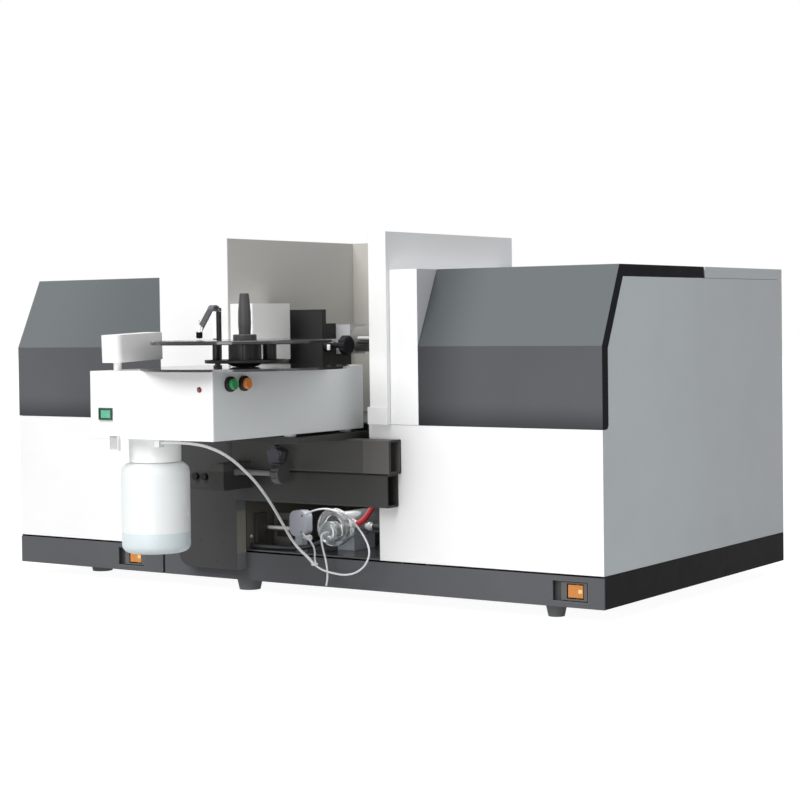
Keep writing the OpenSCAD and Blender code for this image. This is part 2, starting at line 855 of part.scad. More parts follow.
// Case with bores for the spindle, the arm post, the buttons and the switch, on four pads
module sampler_case() {
  pad_inset = 18;
  pad_front = -115;
  color("white") at_front() difference() {
    union() {
      round_plate([sampler_left, sampler_front, sampler_z], [sampler_right, sampler_back, case_top], 2);
      for (x = [sampler_left + pad_inset, sampler_right - pad_inset], y = [pad_front, sampler_back - pad_inset])
        rod_z(rail_top + table_t, sampler_z + 1, x, y, 8);
    }
    rod_z(case_top - 45, case_top + 1, carousel_x, carousel_y, spindle_r + play);
    rod_z(case_top - 45, case_top + 1, post_x, post_y, post_r + play);
    for (y = [start_y, stop_y]) rod_x(sampler_right - 18, sampler_right + 1, y, button_z, button_r + 0.2);
    block([sampler_switch_x - 10, sampler_front - 1, sampler_switch_z - 7],
          [sampler_switch_x + 10, sampler_front + 13, sampler_switch_z + 7]);
    rod_y(sampler_front - 1, sampler_front + 8, 103.5, 296, 2.5);
  }
}

module led() {
  color("#8c1f28") at_front() {
    rod_y(sampler_front - 1, sampler_front + 7, 103.5, 296, 2.5);
    translate([103.5, sampler_front - 1, 296]) sphere(2.5);
    rod_y(sampler_front - 1, sampler_front, 103.5, 296, 3.4);
  }
}

module button_bezels() {
  color("#1c1d1e") at_front()
    for (y = [start_y, stop_y])
      difference() {
        turned_x(y, button_z, [
          [0, sampler_right], [9.5, sampler_right], [9.5, sampler_right + 4], [8.6, sampler_right + 5.2],
          [0, sampler_right + 5.2]
        ]);
        rod_x(sampler_right - 1, sampler_right + 8, y, button_z, button_r + 0.1);
      }
}

module push_button(y) {
  turned_x(y, button_z, [
    [0, sampler_right - 12], [button_r, sampler_right - 12], [button_r, sampler_right + 9],
    [button_r - 1, sampler_right + 10], [button_r - 1.6, sampler_right + 9.5], [0, sampler_right + 9.5]
  ]);
}

module start_button() {
  color("#2f8f52") at_front() push_button(start_y);
}

module stop_button() {
  color("#bf7630") at_front() push_button(stop_y);
}

module drip_disc() {
  color("#55585a", 0.8) at_front() difference() {
    rod_z(case_top, case_top + drip_t, carousel_x, carousel_y, drip_r);
    rod_z(case_top - 1, case_top + drip_t + 1, carousel_x, carousel_y, spindle_r + 8);
  }
}

// Spindle, lower disc, drum and three posts that carry the tray; a post is its turn, distance and radius
module carousel_hub() {
  disc_z = case_top + 8;
  color("#1f1f20") at_front() translate([carousel_x, carousel_y, 0]) {
    rotate_extrude() polygon([
      [0, case_top - 40], [spindle_r, case_top - 40], [spindle_r, case_top + drip_t + 0.5],
      [16, case_top + drip_t + 0.5], [24, disc_z], [50, disc_z], [51, disc_z + 1], [51, disc_z + 4],
      [21, disc_z + 4], [21, tray_z], [0, tray_z]
    ]);
    for (p = [[69, 36, 9], [189, 42, 5], [309, 42, 4.5]])
      rotate(p[0]) translate([p[1], 0, disc_z + 3]) cylinder(h = tray_z - disc_z - 3, r = p[2]);
  }
}

// Tray with two rings of shallow seats for sample cups
module seat_ring(count, ring_r, seat_r) {
  seat_depth = 2;
  for (i = [0 : count - 1])
    rotate(360 * i / count) translate([ring_r, 0, tray_z + tray_t - seat_depth])
      cylinder(h = seat_depth + 1, r = seat_r, $fn = 24);
}

module carousel_tray() {
  color("#5d6062", 0.8) at_front() translate([carousel_x, carousel_y, 0]) difference() {
    rotate_extrude() polygon([
      [0, tray_z], [tray_r - 1, tray_z], [tray_r, tray_z + 1], [tray_r, tray_z + tray_t - 1],
      [tray_r - 1, tray_z + tray_t], [0, tray_z + tray_t]
    ]);
    seat_ring(outer_seats, tray_r - 13, 5.5);
    seat_ring(inner_seats, tray_r - 33, 5.5);
  }
}

module carousel_handle() {
  z0 = tray_z + tray_t;
  color("#464544") at_front() translate([carousel_x, carousel_y, 0]) rotate_extrude() polygon([
    [0, z0], [15, z0], [15, z0 + 6], [14, z0 + 7], [7.5, z0 + 7], [8.2, z0 + 20], [8, z0 + 36],
    [6, z0 + 58], [5, z0 + 59], [0, z0 + 59]
  ]);
}

// Lifting post of the sampling arm: a flat bar on a round rod, with the pin that the arm swings on
module arm_post() {
  color("#242425") at_front() {
    rod_z(case_top - 40, post_top - 1, post_x, post_y, post_r);
    block([post_x - 3, post_y - 5.5, case_top + 4], [post_x + 3, post_y + 5.5, post_top]);
    rod_z(post_top, post_top + 7, post_x, post_y, 3);
  }
}

// Strip that arches from the post over to the needle holder
module arm_strip() {
  strip_w = 7.5;
  color("#a8a9ab") at_front() difference() {
    union() {
      rod_z(post_top + 0.3, post_top + 5, post_x, post_y, 6);
      translate([post_x, post_y, 0]) rotate(arm_turn) translate([0, strip_w / 2, 0]) rotate([90, 0, 0])
        linear_extrude(strip_w) polygon([
          [0, post_top + 1.5], [5, post_top + 4.2], [10, post_top + 5.8], [16, post_top + 5.8],
          [20, post_top + 4.6], [24, post_top + 1.5], [arm_len - 3, 367], [arm_len, 365], [arm_len, 369],
          [arm_len - 1, 370], [26, post_top + 3.5], [22, post_top + 7], [17, post_top + 8.6],
          [10, post_top + 8.6], [4, post_top + 7.2], [0, post_top + 5]
        ]);
      translate([needle_x, needle_y, 0]) rotate_extrude() polygon([
        [0, 357], [3.5, 357], [4.2, 358], [4.2, 365], [3, 365], [3, 371], [2.2, 374], [0, 374]
      ]);
    }
    rod_z(post_top - 1, post_top + 9, post_x, post_y, 3 + play);
    rod_z(356, 375, needle_x, needle_y, 0.9);
  }
}

module needle() {
  color("silver") at_front() rod_z(356, 381, needle_x, needle_y, 0.8);
}

// Pump pod with round front corners, tilted up to the rear on a short post
module pump_pod() {
  size = [32, 87, 35];
  front_r = 9;
  back_r = 4;
  pod_tilt = 2;
  color("white") at_front() {
    translate([-69, -281, 328]) rotate([pod_tilt, 0, 0]) linear_extrude(size[2]) {
      translate([front_r, 0]) square([size[0] - 2 * front_r, front_r]);
      translate([0, front_r]) square([size[0], size[1] - front_r - back_r]);
      translate([back_r, size[1] - back_r]) square([size[0] - 2 * back_r, back_r]);
      for (x = [front_r, size[0] - front_r]) translate([x, front_r]) circle(front_r);
      for (x = [back_r, size[0] - back_r]) translate([x, size[1] - back_r]) circle(back_r);
    }
    rod_z(case_top, 330, -50, -268, 5);
  }
}

// Wide mouth bottle that hangs from its cap under the case
module bottle() {
  low = 87;
  high = 201;
  base_r = 10;
  shoulder_r = 13;
  color("#e0e6e6") at_front() translate([bottle_x, bottle_y, 0]) rotate_extrude() {
    translate([0, low]) square([bottle_r - base_r, base_r]);
    translate([0, low + base_r]) square([bottle_r, high - low - base_r - shoulder_r]);
    translate([0, high - shoulder_r]) square([bottle_r - shoulder_r, shoulder_r]);
    intersection() {
      translate([bottle_r - base_r, low + base_r]) circle(base_r);
      translate([0, low]) square([bottle_r, base_r]);
    }
    intersection() {
      translate([bottle_r - shoulder_r, high - shoulder_r]) circle(shoulder_r);
      translate([0, high - shoulder_r]) square([bottle_r, shoulder_r]);
    }
    translate([0, high - 1]) square([29, 29]);
  }
}

// Smooth screw cap under the case, and the bracket tab at the case's front edge
module bottle_holder() {
  color("#f2f2f0") at_front() {
    translate([bottle_x, bottle_y, 0]) rotate_extrude() polygon([
      [29.2, 202], [bottle_cap_r - 0.5, 202], [bottle_cap_r, 202.5], [bottle_cap_r, 231],
      [bottle_cap_r - 1, sampler_z], [0, sampler_z], [0, 229], [29.2, 229]
    ]);
    difference() {
      block([-43, sampler_front - 4, 218], [-27, sampler_front, 238]);
      block([-41.5, sampler_front - 5, 219.5], [-28.5, sampler_front - 2, 236.5]);
    }
  }
}

// Lower bay

// Slotted bracket, wall post, gas clamp on its cross rod, and the saddle under the spray chamber
module nebuliser_mount() {
  color("#8b8d8f") at_front() {
    difference() {
      block([-58, 58, bay_floor_z], [-30, 62, 108]);
      for (z = [74, 90]) block([-53, 57, z], [-34, 63, z + 8]);
    }
    block([bay_left, 17, bay_floor_z], [bay_left + 6, 40, 110]);
    rod_x(bay_left, -18, 46, 88, 2.5);
    difference() {
      union() {
        translate([0, 58, 0]) rotate([90, 0, 0]) linear_extrude(16) round_rect([-18, 78], [10, 114], 10);
        block([-10, 44, bay_floor_z], [2, 56, 79]);
      }
      rod_y(41, 50, 2, 84, 1.6);
      rod_y(41, 50, 4, 107, 1.6);
    }
    difference() {
      block([chamber_x - 14, 60, bay_floor_z], [chamber_x + 14, 110, chamber_z - 10]);
      rod_y(59, 111, chamber_x, chamber_z, chamber_r);
    }
  }
}

// Clear spray chamber with its front ring and the nebuliser plug in it
module spray_chamber() {
  color("#e8eef0", 0.6) at_front() {
    turned_y(chamber_x, chamber_z, [
      [0, 146], [0, 150], [chamber_r, 150], [chamber_r, 38], [25, 38], [26, 37], [26, 29], [25, 28],
      [17, 28], [17, 146]
    ]);
    turned_y(chamber_x + 4, chamber_z - 5, [
      [0, 12], [8, 12], [8, 20], [11, 20], [11, 12], [14, 12], [15, 13], [15, 28], [9, 28], [9, 60], [0, 60]
    ]);
  }
}

// Gas stubs on the chamber, the tube outlet under the case and the two tube joints
module tube_fittings() {
  color("#eef0f0") at_front() {
    for (p = [[44, 101], [82, 93]]) {
      rod_x(chamber_x + chamber_r - 2, 97, p[0], p[1], 4);
      rod_x(90, 93, p[0], p[1], 6);
    }
    block([28, -289, 224], [36, -279, sampler_z]);
    rod_y(5, 12, chamber_x + 4, chamber_z - 5, 2.4);
    rod_x(78, 86, -34, 53, 2.4);
  }
}

module gas_hoses() {
  color("#b03036") at_front() swept_tube(red_route, 4, 2, 10);
  color("#222222") at_front() {
    swept_tube(black_route, 4, 2, 10);
    swept_tube(floor_route, 3.5, 2, 10);
  }
}

module sample_tube() {
  color("#d0d0d8") at_front() swept_tube(sample_route, 1.9, 3, 8);
}

module return_tubes() {
  color("#d0d0d8") at_front() {
    swept_tube(loop_route, 1.3, 2, 8);
    swept_tube(drain_route, 1.3, 2, 8);
  }
}

module capillary() {
  color("#d0d0d8") at_front() swept_tube(capillary_route, 1.3, 2, 8);
}

base_pan();
plinth_fascias();
feet();
left_lower_cover();
right_lower_cover();
left_side_panel();
right_side_panel();
rear_top_cover();
rear_panel();
rear_inlet();
left_pillar();
right_pillar();
shield();
compartment_deck();
bay_walls();
bay_floor();
left_hood();
right_hood();
hinge_pins();
switch_frames();
left_rocker();
right_rocker();
lamp_turret();
lamps();
turret_drive();
power_unit();
monochromator();
detector();
wall_housing();
furnace_body();
furnace_contact();
furnace_knob();
support_column();
support_rails();
table_plate();
adjuster_knob();
clamp_knob();
sampler_case();
sampler_rocker();
led();
button_bezels();
start_button();
stop_button();
drip_disc();
carousel_hub();
carousel_tray();
carousel_handle();
arm_post();
arm_strip();
needle();
pump_pod();
bottle();
bottle_holder();
nebuliser_mount();
spray_chamber();
tube_fittings();
gas_hoses();
sample_tube();
return_tubes();
capillary();
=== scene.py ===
# %% [markdown]
# This lesson dresses a bench spectrophotometer with its autosampler. Its solids come from the
# construction model and stay where they are. Blender adds what the eye reads: paint, smoked plastic,
# glass, tubing and small fittings. Blender counts in metres. Most places below are given in
# millimetres, with depths counted from the common front plane of the machine, because that is how the
# machine was measured.

# %% Load the solids
import math

import bmesh
import bpy
from mathutils import Matrix, Vector


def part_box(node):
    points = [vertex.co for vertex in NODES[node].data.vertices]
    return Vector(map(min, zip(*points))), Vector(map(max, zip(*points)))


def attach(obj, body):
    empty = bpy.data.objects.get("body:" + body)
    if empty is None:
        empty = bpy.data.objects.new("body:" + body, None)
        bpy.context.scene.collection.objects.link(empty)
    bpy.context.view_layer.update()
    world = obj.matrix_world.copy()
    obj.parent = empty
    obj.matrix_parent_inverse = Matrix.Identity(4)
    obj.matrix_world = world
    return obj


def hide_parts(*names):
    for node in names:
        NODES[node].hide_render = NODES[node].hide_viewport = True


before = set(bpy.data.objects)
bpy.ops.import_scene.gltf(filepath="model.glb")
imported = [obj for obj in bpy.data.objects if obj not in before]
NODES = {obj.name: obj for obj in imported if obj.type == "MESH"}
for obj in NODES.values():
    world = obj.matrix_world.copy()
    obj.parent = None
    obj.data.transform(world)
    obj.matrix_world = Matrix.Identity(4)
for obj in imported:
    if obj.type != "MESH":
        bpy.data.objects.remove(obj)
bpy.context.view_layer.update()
MM = 0.001
FRONT_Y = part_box("plinth_fascias")[0].y


def at(x, y, z):
    """A point given in millimetres, its depth counted from the front plane."""
    return Vector((x * MM, FRONT_Y + y * MM, z * MM))


print("nodes", len(NODES), "front plane at", round(FRONT_Y, 4))

# %% [markdown]
# The camera comes first, because everything else is judged through it. The photograph was taken from
# the front right, slightly above the middle of the machine. A camera can be aimed by eye, but here its
# angles were fitted to the machine's straight edges, so they are written as numbers. The picture's
# vertical lines stay upright and the machine sits a little above the middle of the frame, which a small
# lens shift gives.

# %% Camera
CAMERA_PLACE = Vector((1.60632, -2.18116, 0.37828))
CAMERA_YAW = math.radians(34.29)
CAMERA_PITCH = math.radians(1.56)
CAMERA_ROLL = math.radians(-0.74)
PICTURE_SIZE = 800
FOCAL_PIXELS = 1903.34
CENTRE_LINE_PIXELS = 371.28
SENSOR = 36.0
FAR_CLIP = 60


def camera_turn(yaw, pitch, roll):
    """The camera's axes: right, up and backwards, as the columns of a matrix."""
    ahead = Vector((-math.sin(yaw) * math.cos(pitch),
                    math.cos(yaw) * math.cos(pitch),
                    -math.sin(pitch)))
    level = Vector((math.cos(yaw), math.sin(yaw), 0))
    rise = level.cross(ahead)
    right = math.cos(roll) * level + math.sin(roll) * rise
    up = -math.sin(roll) * level + math.cos(roll) * rise
    return Matrix((right, up, -ahead)).transposed()


camera_data = bpy.data.cameras.new("camera")
camera_data.sensor_width = SENSOR
camera_data.lens = SENSOR * FOCAL_PIXELS / PICTURE_SIZE
camera_data.shift_y = (CENTRE_LINE_PIXELS - PICTURE_SIZE / 2) / PICTURE_SIZE
camera_data.clip_end = FAR_CLIP
camera = bpy.data.objects.new("camera", camera_data)
turn = camera_turn(CAMERA_YAW, CAMERA_PITCH, CAMERA_ROLL)
camera.matrix_world = Matrix.Translation(CAMERA_PLACE) @ turn.to_4x4()
bpy.context.scene.collection.objects.link(camera)
bpy.context.scene.camera = camera
bpy.context.scene.view_settings.view_transform = "Standard"
print("lens", round(camera_data.lens, 2), "mm")

# %% [markdown]
# A material in Blender is a graph of nodes. Such graphs can be drawn by hand, but dozens of finishes
# that share their parts are easier to keep alike in code. `blank` starts a material and `put` adds a
# node with its values. `noise` makes a random pattern and `two_tone` a colour that drifts with it,
# which nearly every finish here needs. Colours are written as a screen shows them, because a photograph
# is read that way.

# %% Shader helpers


def blank(name):
    """A new material, with its node tree and its main shader."""
    material = bpy.data.materials.new(name)
    material.use_nodes = True
    return material, material.node_tree, material.node_tree.nodes["Principled BSDF"]


def tune(node, values):
    """Set a node's own sockets, given by name or number."""
    for key, value in values.items():
        node.inputs[key].default_value = value
    return node


def put(tree, kind, values=None, **settings):
    """Add a node with its settings and the values of its sockets."""
    node = tree.nodes.new(kind)
    for key, value in settings.items():
        setattr(node, key, value)
    return tune(node, values or {})


def linear(red, green, blue):
    """A colour as a screen shows it, 0 to 255, turned into the light that a shader works with."""
    def channel(c):
        c = c / 255
        return c / 12.92 if c <= 0.04045 else ((c + 0.055) / 1.055) ** 2.4
    return (channel(red), channel(green), channel(blue), 1.0)


def shaded(colour, factor):
    """The same colour, lighter or darker."""
    return tuple(min(1.0, c * factor) for c in colour[:3]) + (1.0,)


def noise(tree, scale, detail):
    """A soft random pattern that stays fixed to the piece."""
    spots = put(tree, "ShaderNodeTexCoord")
    pattern = put(tree, "ShaderNodeTexNoise", {"Scale": scale, "Detail": detail})
    tree.links.new(spots.outputs["Object"], pattern.inputs["Vector"])
    return pattern.outputs["Fac"]


def two_tone(tree, pattern, colour, low, high, start=0.0, end=1.0):
    """A colour that drifts with a pattern between two factors of itself."""
    ramp = put(tree, "ShaderNodeValToRGB")
    first, last = ramp.color_ramp.elements
    first.position = start
    first.color = shaded(colour, low)
    last.position = end
    last.color = shaded(colour, high)
    tree.links.new(pattern, ramp.inputs["Fac"])
    return ramp.outputs["Color"]


print("a middle grey of 128 is", round(linear(128, 128, 128)[0], 3), "of the light")

# %% [markdown]
# Thin translucent tubes carry rinse water and sample from the sampler to the spray chamber. They are
# the only loose pieces, so they come early. A tube could be a swept mesh, but a curve needs only the
# few points it passes through, and it keeps its true length. Each route is one smooth line through
# chosen points, with the length that the picture shows.

# %% Tube routes
SAMPLE_ROUTE = [
    (36, -284, 229), (52, -284, 230), (68, -283, 230), (84, -281, 229), (98, -274, 226),
    (108, -258, 218), (111, -238, 207), (109, -214, 193), (104, -188, 178), (95, -160, 162),
    (84, -130, 144), (72, -100, 125), (61, -70, 104), (56, -50, 87), (60, -39, 73), (69, -34, 63),
    (80, -34, 54),
]
LOOP_ROUTE = [
    (84, -34, 51), (96, -34, 46), (113, -34, 43), (131, -34, 42), (149, -34, 46), (163, -33, 56),
    (169, -31, 70), (166, -29, 83), (155, -26, 97), (137, -18, 109), (114, -6, 117),
    (90, 8, 120), (63, 22, 121), (38, 34, 118), (18, 43, 113), (4, 48, 107),
]
DRAIN_ROUTE = [
    (2, 49, 84), (6, 40, 83), (18, 32, 79), (34, 21, 75), (49, 8, 70), (63, -8, 65), (75, -24, 59),
    (82, -32, 55),
]
CAPILLARY_ROUTE = [
    (70, 5, 90), (71, -3, 88), (76, -10, 81), (85, -18, 70), (94, -25, 58), (99, -29, 46),
    (100, -30, 36), (98, -30, 25),
]
SMOOTH_STEPS = 6


def smooth_route(points):
    """More points on a smooth curve through the given ones."""
    spots = [at(*p) for p in points]
    line = []
    for i in range(len(spots) - 1):
        a, b = spots[max(i - 1, 0)], spots[i]
        c, d = spots[i + 1], spots[min(i + 2, len(spots) - 1)]
        for s in range(SMOOTH_STEPS):
            t = s / SMOOTH_STEPS
            line.append(0.5 * (2 * b + (c - a) * t + (2 * a - 5 * b + 4 * c - d) * t * t
                               + (3 * b - a - 3 * c + d) * t * t * t))
    return line + [spots[-1]]


def line_length(line):
    """The length of a line of points, in metres."""
    return sum((q - p).length for p, q in zip(line, line[1:]))


print("sample route", round(line_length(smooth_route(SAMPLE_ROUTE)) / MM), "mm")

# %% [markdown]
# The tubing itself is soft plastic, milky rather than clear, with faint streaks along it. Three of the
# tubes end in a fitting, and the thin capillary ends in a cut, as real ones do. `adopt` links a new
# piece to the scene, gives it a finish and lets it ride on a body, so it serves for all later pieces
# too.

# %% Tubes
TUBE_ROUGH = 0.28
TUBE_CLEAR = 0.06
TUBE_IOR = 1.4
TUBE_ROUNDNESS = 4
STREAK_SCALE = 160
STREAK_DARK = 0.86
STREAK_PALE = 1.08


def adopt(piece, material, body="frame"):
    """Link a new piece, give it its finish and slot, and let it ride on a body."""
    bpy.context.scene.collection.objects.link(piece)
    piece.data.materials.append(material)
    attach(piece, body)
    return piece


def tube_curve(name, line, radius):
    """A round tube along a line, its radius in millimetres."""
    curve = bpy.data.curves.new(name, "CURVE")
    curve.dimensions = "3D"
    curve.bevel_depth = radius * MM
    curve.bevel_resolution = TUBE_ROUNDNESS
    curve.use_fill_caps = True
    spline = curve.splines.new("POLY")
    spline.points.add(len(line) - 1)
    for point, spot in zip(spline.points, line):
        point.co = (*spot, 1)
    return bpy.data.objects.new(name, curve)


def tube_finish(name, colour):
    """Flexible tubing: a soft translucent wall with a faint run of milky streaks."""
    material, tree, shader = blank(name)
    streaks = two_tone(tree, noise(tree, STREAK_SCALE, detail=2), colour, STREAK_DARK, STREAK_PALE)
    tree.links.new(streaks, shader.inputs["Base Color"])
    tune(shader, {"Roughness": TUBE_ROUGH, "Transmission Weight": TUBE_CLEAR, "IOR": TUBE_IOR})
    return material


milky_tube = tube_finish("milky_tube", linear(244, 245, 250))
# Name, route, radius, the solid it stands for and what is at its far end
CORDS = [
    ("sample_line", SAMPLE_ROUTE, 1.9, "sample_tube", "object"),
    ("loop_line", LOOP_ROUTE, 1.3, "return_tubes", "object"),
    ("drain_line", DRAIN_ROUTE, 1.3, "return_tubes", "object"),
    ("capillary_line", CAPILLARY_ROUTE, 1.3, "capillary", "bare"),
]
for name, route, radius, solid, far_end in CORDS:
    line = smooth_route(route)
    tube = adopt(tube_curve(name, line, radius), milky_tube)
    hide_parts(solid)
    print(name, "length", round(line_length(line) / MM), "mm")

# %% [markdown]
# The gas hoses in the lower bay are stiffer. A red one and a black one run from the chamber's stubs to
# the cabinet wall, and a drain hose lies on the bay's floor. They keep the routes of their solids too.
# Rubber is dull, and fine ripples from its making show when light grazes it, so a small noise drives
# tone and relief.

# %% Gas hoses
RED_ROUTE = [
    (97, 44, 101), (103, 44, 103), (110, 44, 108), (117, 44, 116), (124, 45, 126), (132, 48, 136),
    (142, 55, 145), (153, 64, 151), (165, 72, 153),
]
BLACK_ROUTE = [
    (97, 82, 93), (108, 82, 92), (120, 84, 94), (134, 90, 102), (148, 96, 112), (157, 98, 117),
    (165, 99, 118),
]
FLOOR_ROUTE = [
    (-62, 12, 66), (-53, 11, 65.2), (-34, 11, 65), (-12, 13, 65), (10, 18, 65.2), (28, 27, 67.5),
    (41, 37, 73), (52, 47, 81),
]
RUBBER_ROUGH = 0.45
RIPPLE_SCALE = 500
RIPPLE_STRENGTH = 0.2
RIPPLE_DEPTH = 0.3
RIPPLE_DARK = 0.8
RIPPLE_PALE = 1.15


def relief(tree, pattern, strength, depth):
    """A low relief from a pattern, its depth in millimetres."""
    bump = put(tree, "ShaderNodeBump", {"Strength": strength, "Distance": depth * MM})
    tree.links.new(pattern, bump.inputs["Height"])
    return bump


def hose_finish(name, colour):
    """Rubber hose: dull, with fine cloth-like ripples from its making."""
    material, tree, shader = blank(name)
    ripples = noise(tree, RIPPLE_SCALE, detail=3)
    tone = two_tone(tree, ripples, colour, RIPPLE_DARK, RIPPLE_PALE)
    skin = relief(tree, ripples, RIPPLE_STRENGTH, RIPPLE_DEPTH)
    tree.links.new(tone, shader.inputs["Base Color"])
    tree.links.new(skin.outputs["Normal"], shader.inputs["Normal"])
    tune(shader, {"Roughness": RUBBER_ROUGH})
    return material


red_rubber = hose_finish("red_rubber", linear(207, 53, 60))
black_rubber = hose_finish("black_rubber", linear(41, 41, 44))
# Name, route, radius and rubber
HOSES = [
    ("red_hose", RED_ROUTE, 4, red_rubber),
    ("black_hose", BLACK_ROUTE, 4, black_rubber),
    ("floor_hose", FLOOR_ROUTE, 3.5, black_rubber),
]
for name, route, radius, rubber in HOSES:
    line = smooth_route(route)
    hose = adopt(tube_curve(name, line, radius), rubber)
    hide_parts("gas_hoses")
    print(name, "length", round(line_length(line) / MM), "mm")

# %% [markdown]
# The stage is a plain pale floor before a white backdrop. Making it white with more light would bleach
# the machine as well. Instead the backdrop and the floor know what kind of ray meets them: the camera,
# mirrors and clear pieces see them nearly white, while the light they give to the machine stays low.
# The floor's own paint is grey under that glow, so the machine keeps a soft shadow.

# %% Backdrop and floor
WHITE = (1, 1, 1, 1)
AMBIENT = 0.23
BACKDROP_SEEN = 1.0
FLOOR_HALF = 14
FLOOR_GREY = (0.14, 0.14, 0.14, 1)
FLOOR_ROUGH = 0.9
FLOOR_GLOW = 0.16
FLOOR_SEEN = 0.95


def mesh_object(name, verts, faces, smooth_angle=35):
    """A mesh from its points and faces, smooth except at sharp edges."""
    mesh = bpy.data.meshes.new(name)
    mesh.from_pydata([tuple(v) for v in verts], [], faces)
    build = bmesh.new()
    build.from_mesh(mesh)
    bmesh.ops.recalc_face_normals(build, faces=build.faces)
    build.to_mesh(mesh)
    build.free()
    mesh.shade_smooth()
    mesh.set_sharp_from_angle(angle=math.radians(smooth_angle))
    return bpy.data.objects.new(name, mesh)


def ray_level(tree, low, high, target):
    """Feed a socket the high value for rays from the camera, a mirror or a clear piece."""
    path = put(tree, "ShaderNodeLightPath")
    seen = path.outputs["Is Camera Ray"]
    for kind in ("Is Glossy Ray", "Is Transmission Ray"):
        either = put(tree, "ShaderNodeMath", operation="ADD", use_clamp=True)
        tree.links.new(seen, either.inputs[0])
        tree.links.new(path.outputs[kind], either.inputs[1])
        seen = either.outputs[0]
    level = put(tree, "ShaderNodeMapRange", {"To Min": low, "To Max": high})
    tree.links.new(seen, level.inputs["Value"])
    tree.links.new(level.outputs["Result"], target)


world = bpy.data.worlds.new("studio")
bpy.context.scene.world = world
world.use_nodes = True
backdrop = tune(world.node_tree.nodes["Background"], {"Color": WHITE})
ray_level(world.node_tree, AMBIENT, BACKDROP_SEEN, backdrop.inputs["Strength"])

corners = [(x * FLOOR_HALF, y * FLOOR_HALF, 0) for x, y in ((-1, -1), (1, -1), (1, 1), (-1, 1))]
floor = mesh_object("floor", corners, [(0, 1, 2, 3)])
bpy.context.scene.collection.objects.link(floor)
floor_paint, floor_tree, floor_shader = blank("pale_floor")
tune(floor_shader, {"Base Color": FLOOR_GREY, "Roughness": FLOOR_ROUGH, "Emission Color": WHITE})
ray_level(floor_tree, FLOOR_GLOW, FLOOR_SEEN, floor_shader.inputs["Emission Strength"])
floor.data.materials.append(floor_paint)
print("floor", 2 * FLOOR_HALF, "m wide, ambient light", AMBIENT)

# %% [markdown]
# The main light comes from the front and above, far away and wide, so all the fronts are equally bright
# and the right hand sides fall into an even shade. A sun lamp with a wide angle gives that without a
# bright spot. One disc lamp overhead lifts the slanted hoods, a weak one at the right lights the sides,
# a small low one reaches under the sampler, and a tiny one hides in the bay.

# %% Lamps
SUN_STRENGTH = 2.3
SUN_ANGLE = 44
SUN_HEADING = Vector((0.06, 0.74, -0.67))
# Name, place, aim, size and power
LAMPS = [
    ("top_lamp", Vector((0.0, -0.3, 3.2)), Vector((0, 0, 0.3)), 2.4, 40),
    ("side_lamp", Vector((3.2, -0.6, 0.9)), Vector((0, 0, 0.3)), 2.0, 9.4),
    ("low_lamp", Vector((0.45, -1.6, 0.12)), Vector((0.06, -0.1, 0.1)), 0.6, 6),
    ("bay_lamp", at(60, 50, 129), at(60, 52, 60), 0.12, 0.06),
]


def hang(light, heading, place=(0, 0, 0)):
    """Put a light at a place, looking along a heading."""
    holder = bpy.data.objects.new(light.name, light)
    holder.location = place
    holder.rotation_mode = "QUATERNION"
    holder.rotation_quaternion = heading.to_track_quat("-Z", "Y")
    bpy.context.scene.collection.objects.link(holder)


sun = bpy.data.lights.new("sun", "SUN")
sun.energy = SUN_STRENGTH
sun.angle = math.radians(SUN_ANGLE)
hang(sun, SUN_HEADING)
for name, place, aim, size, power in LAMPS:
    lamp = bpy.data.lights.new(name, "AREA")
    lamp.shape = "DISK"
    lamp.size = size
    lamp.energy = power
    hang(lamp, aim - place, place)
print("sun", SUN_STRENGTH, "lamps", [(row[0], row[-1]) for row in LAMPS])

# %% [markdown]
# Most of the machine is folded sheet with a baked powder coat. Such a coat isn't flat colour: it has a
# fine orange peel, its gloss wanders slightly, and every folded edge is a little round. One function
# makes all the coats. Edges could be rounded with a modifier, but the solids have to keep their shape,
# so a bevel node rounds only the shading.

# %% Powder coat
DRIFT_SCALE = 7
DRIFT_START = 0.3
DRIFT_END = 0.7
PATCH_SCALE = 45
GLOSS_SWING = 0.07
LEAST_ROUGH = 0.05
PEEL_DEPTH = 0.3
EDGE_SAMPLES = 4


def gloss_range(tree, pattern, low, high, start=0.0, end=1.0):
    """A roughness that wanders with a pattern between two values."""
    values = {"From Min": start, "From Max": end, "To Min": low, "To Max": high}
    gloss = put(tree, "ShaderNodeMapRange", values)
    tree.links.new(pattern, gloss.inputs["Value"])
    return gloss.outputs["Result"]


def coat(name, colour, rough=0.5, peel=0.12, edge=0.7, spread=0.03, peel_scale=900, shine=0.5):
    """A painted or moulded finish: drifting tone, uneven gloss, fine relief and softened edges."""
    material, tree, shader = blank(name)
    drift = noise(tree, DRIFT_SCALE, detail=3)
    tone = two_tone(tree, drift, colour, 1 - spread, 1 + spread, DRIFT_START, DRIFT_END)
    smoothest = max(LEAST_ROUGH, rough - GLOSS_SWING)
    gloss = gloss_range(tree, noise(tree, PATCH_SCALE, detail=4), smoothest, rough + GLOSS_SWING)
    round_edge = put(tree, "ShaderNodeBevel", {"Radius": edge * MM}, samples=EDGE_SAMPLES)
    skin = relief(tree, noise(tree, peel_scale, detail=2), peel, PEEL_DEPTH)
    tree.links.new(round_edge.outputs["Normal"], skin.inputs["Normal"])
    tree.links.new(skin.outputs["Normal"], shader.inputs["Normal"])
    tree.links.new(tone, shader.inputs["Base Color"])
    tree.links.new(gloss, shader.inputs["Roughness"])
    tune(shader, {"Specular IOR Level": shine})
    return material


def dress(material, *names):
    """Give solids a finish in place of their plain colour."""
    for name in names:
        for held in NODES[name].material_slots:
            held.material = material
    print(material.name, "on", ", ".join(names))


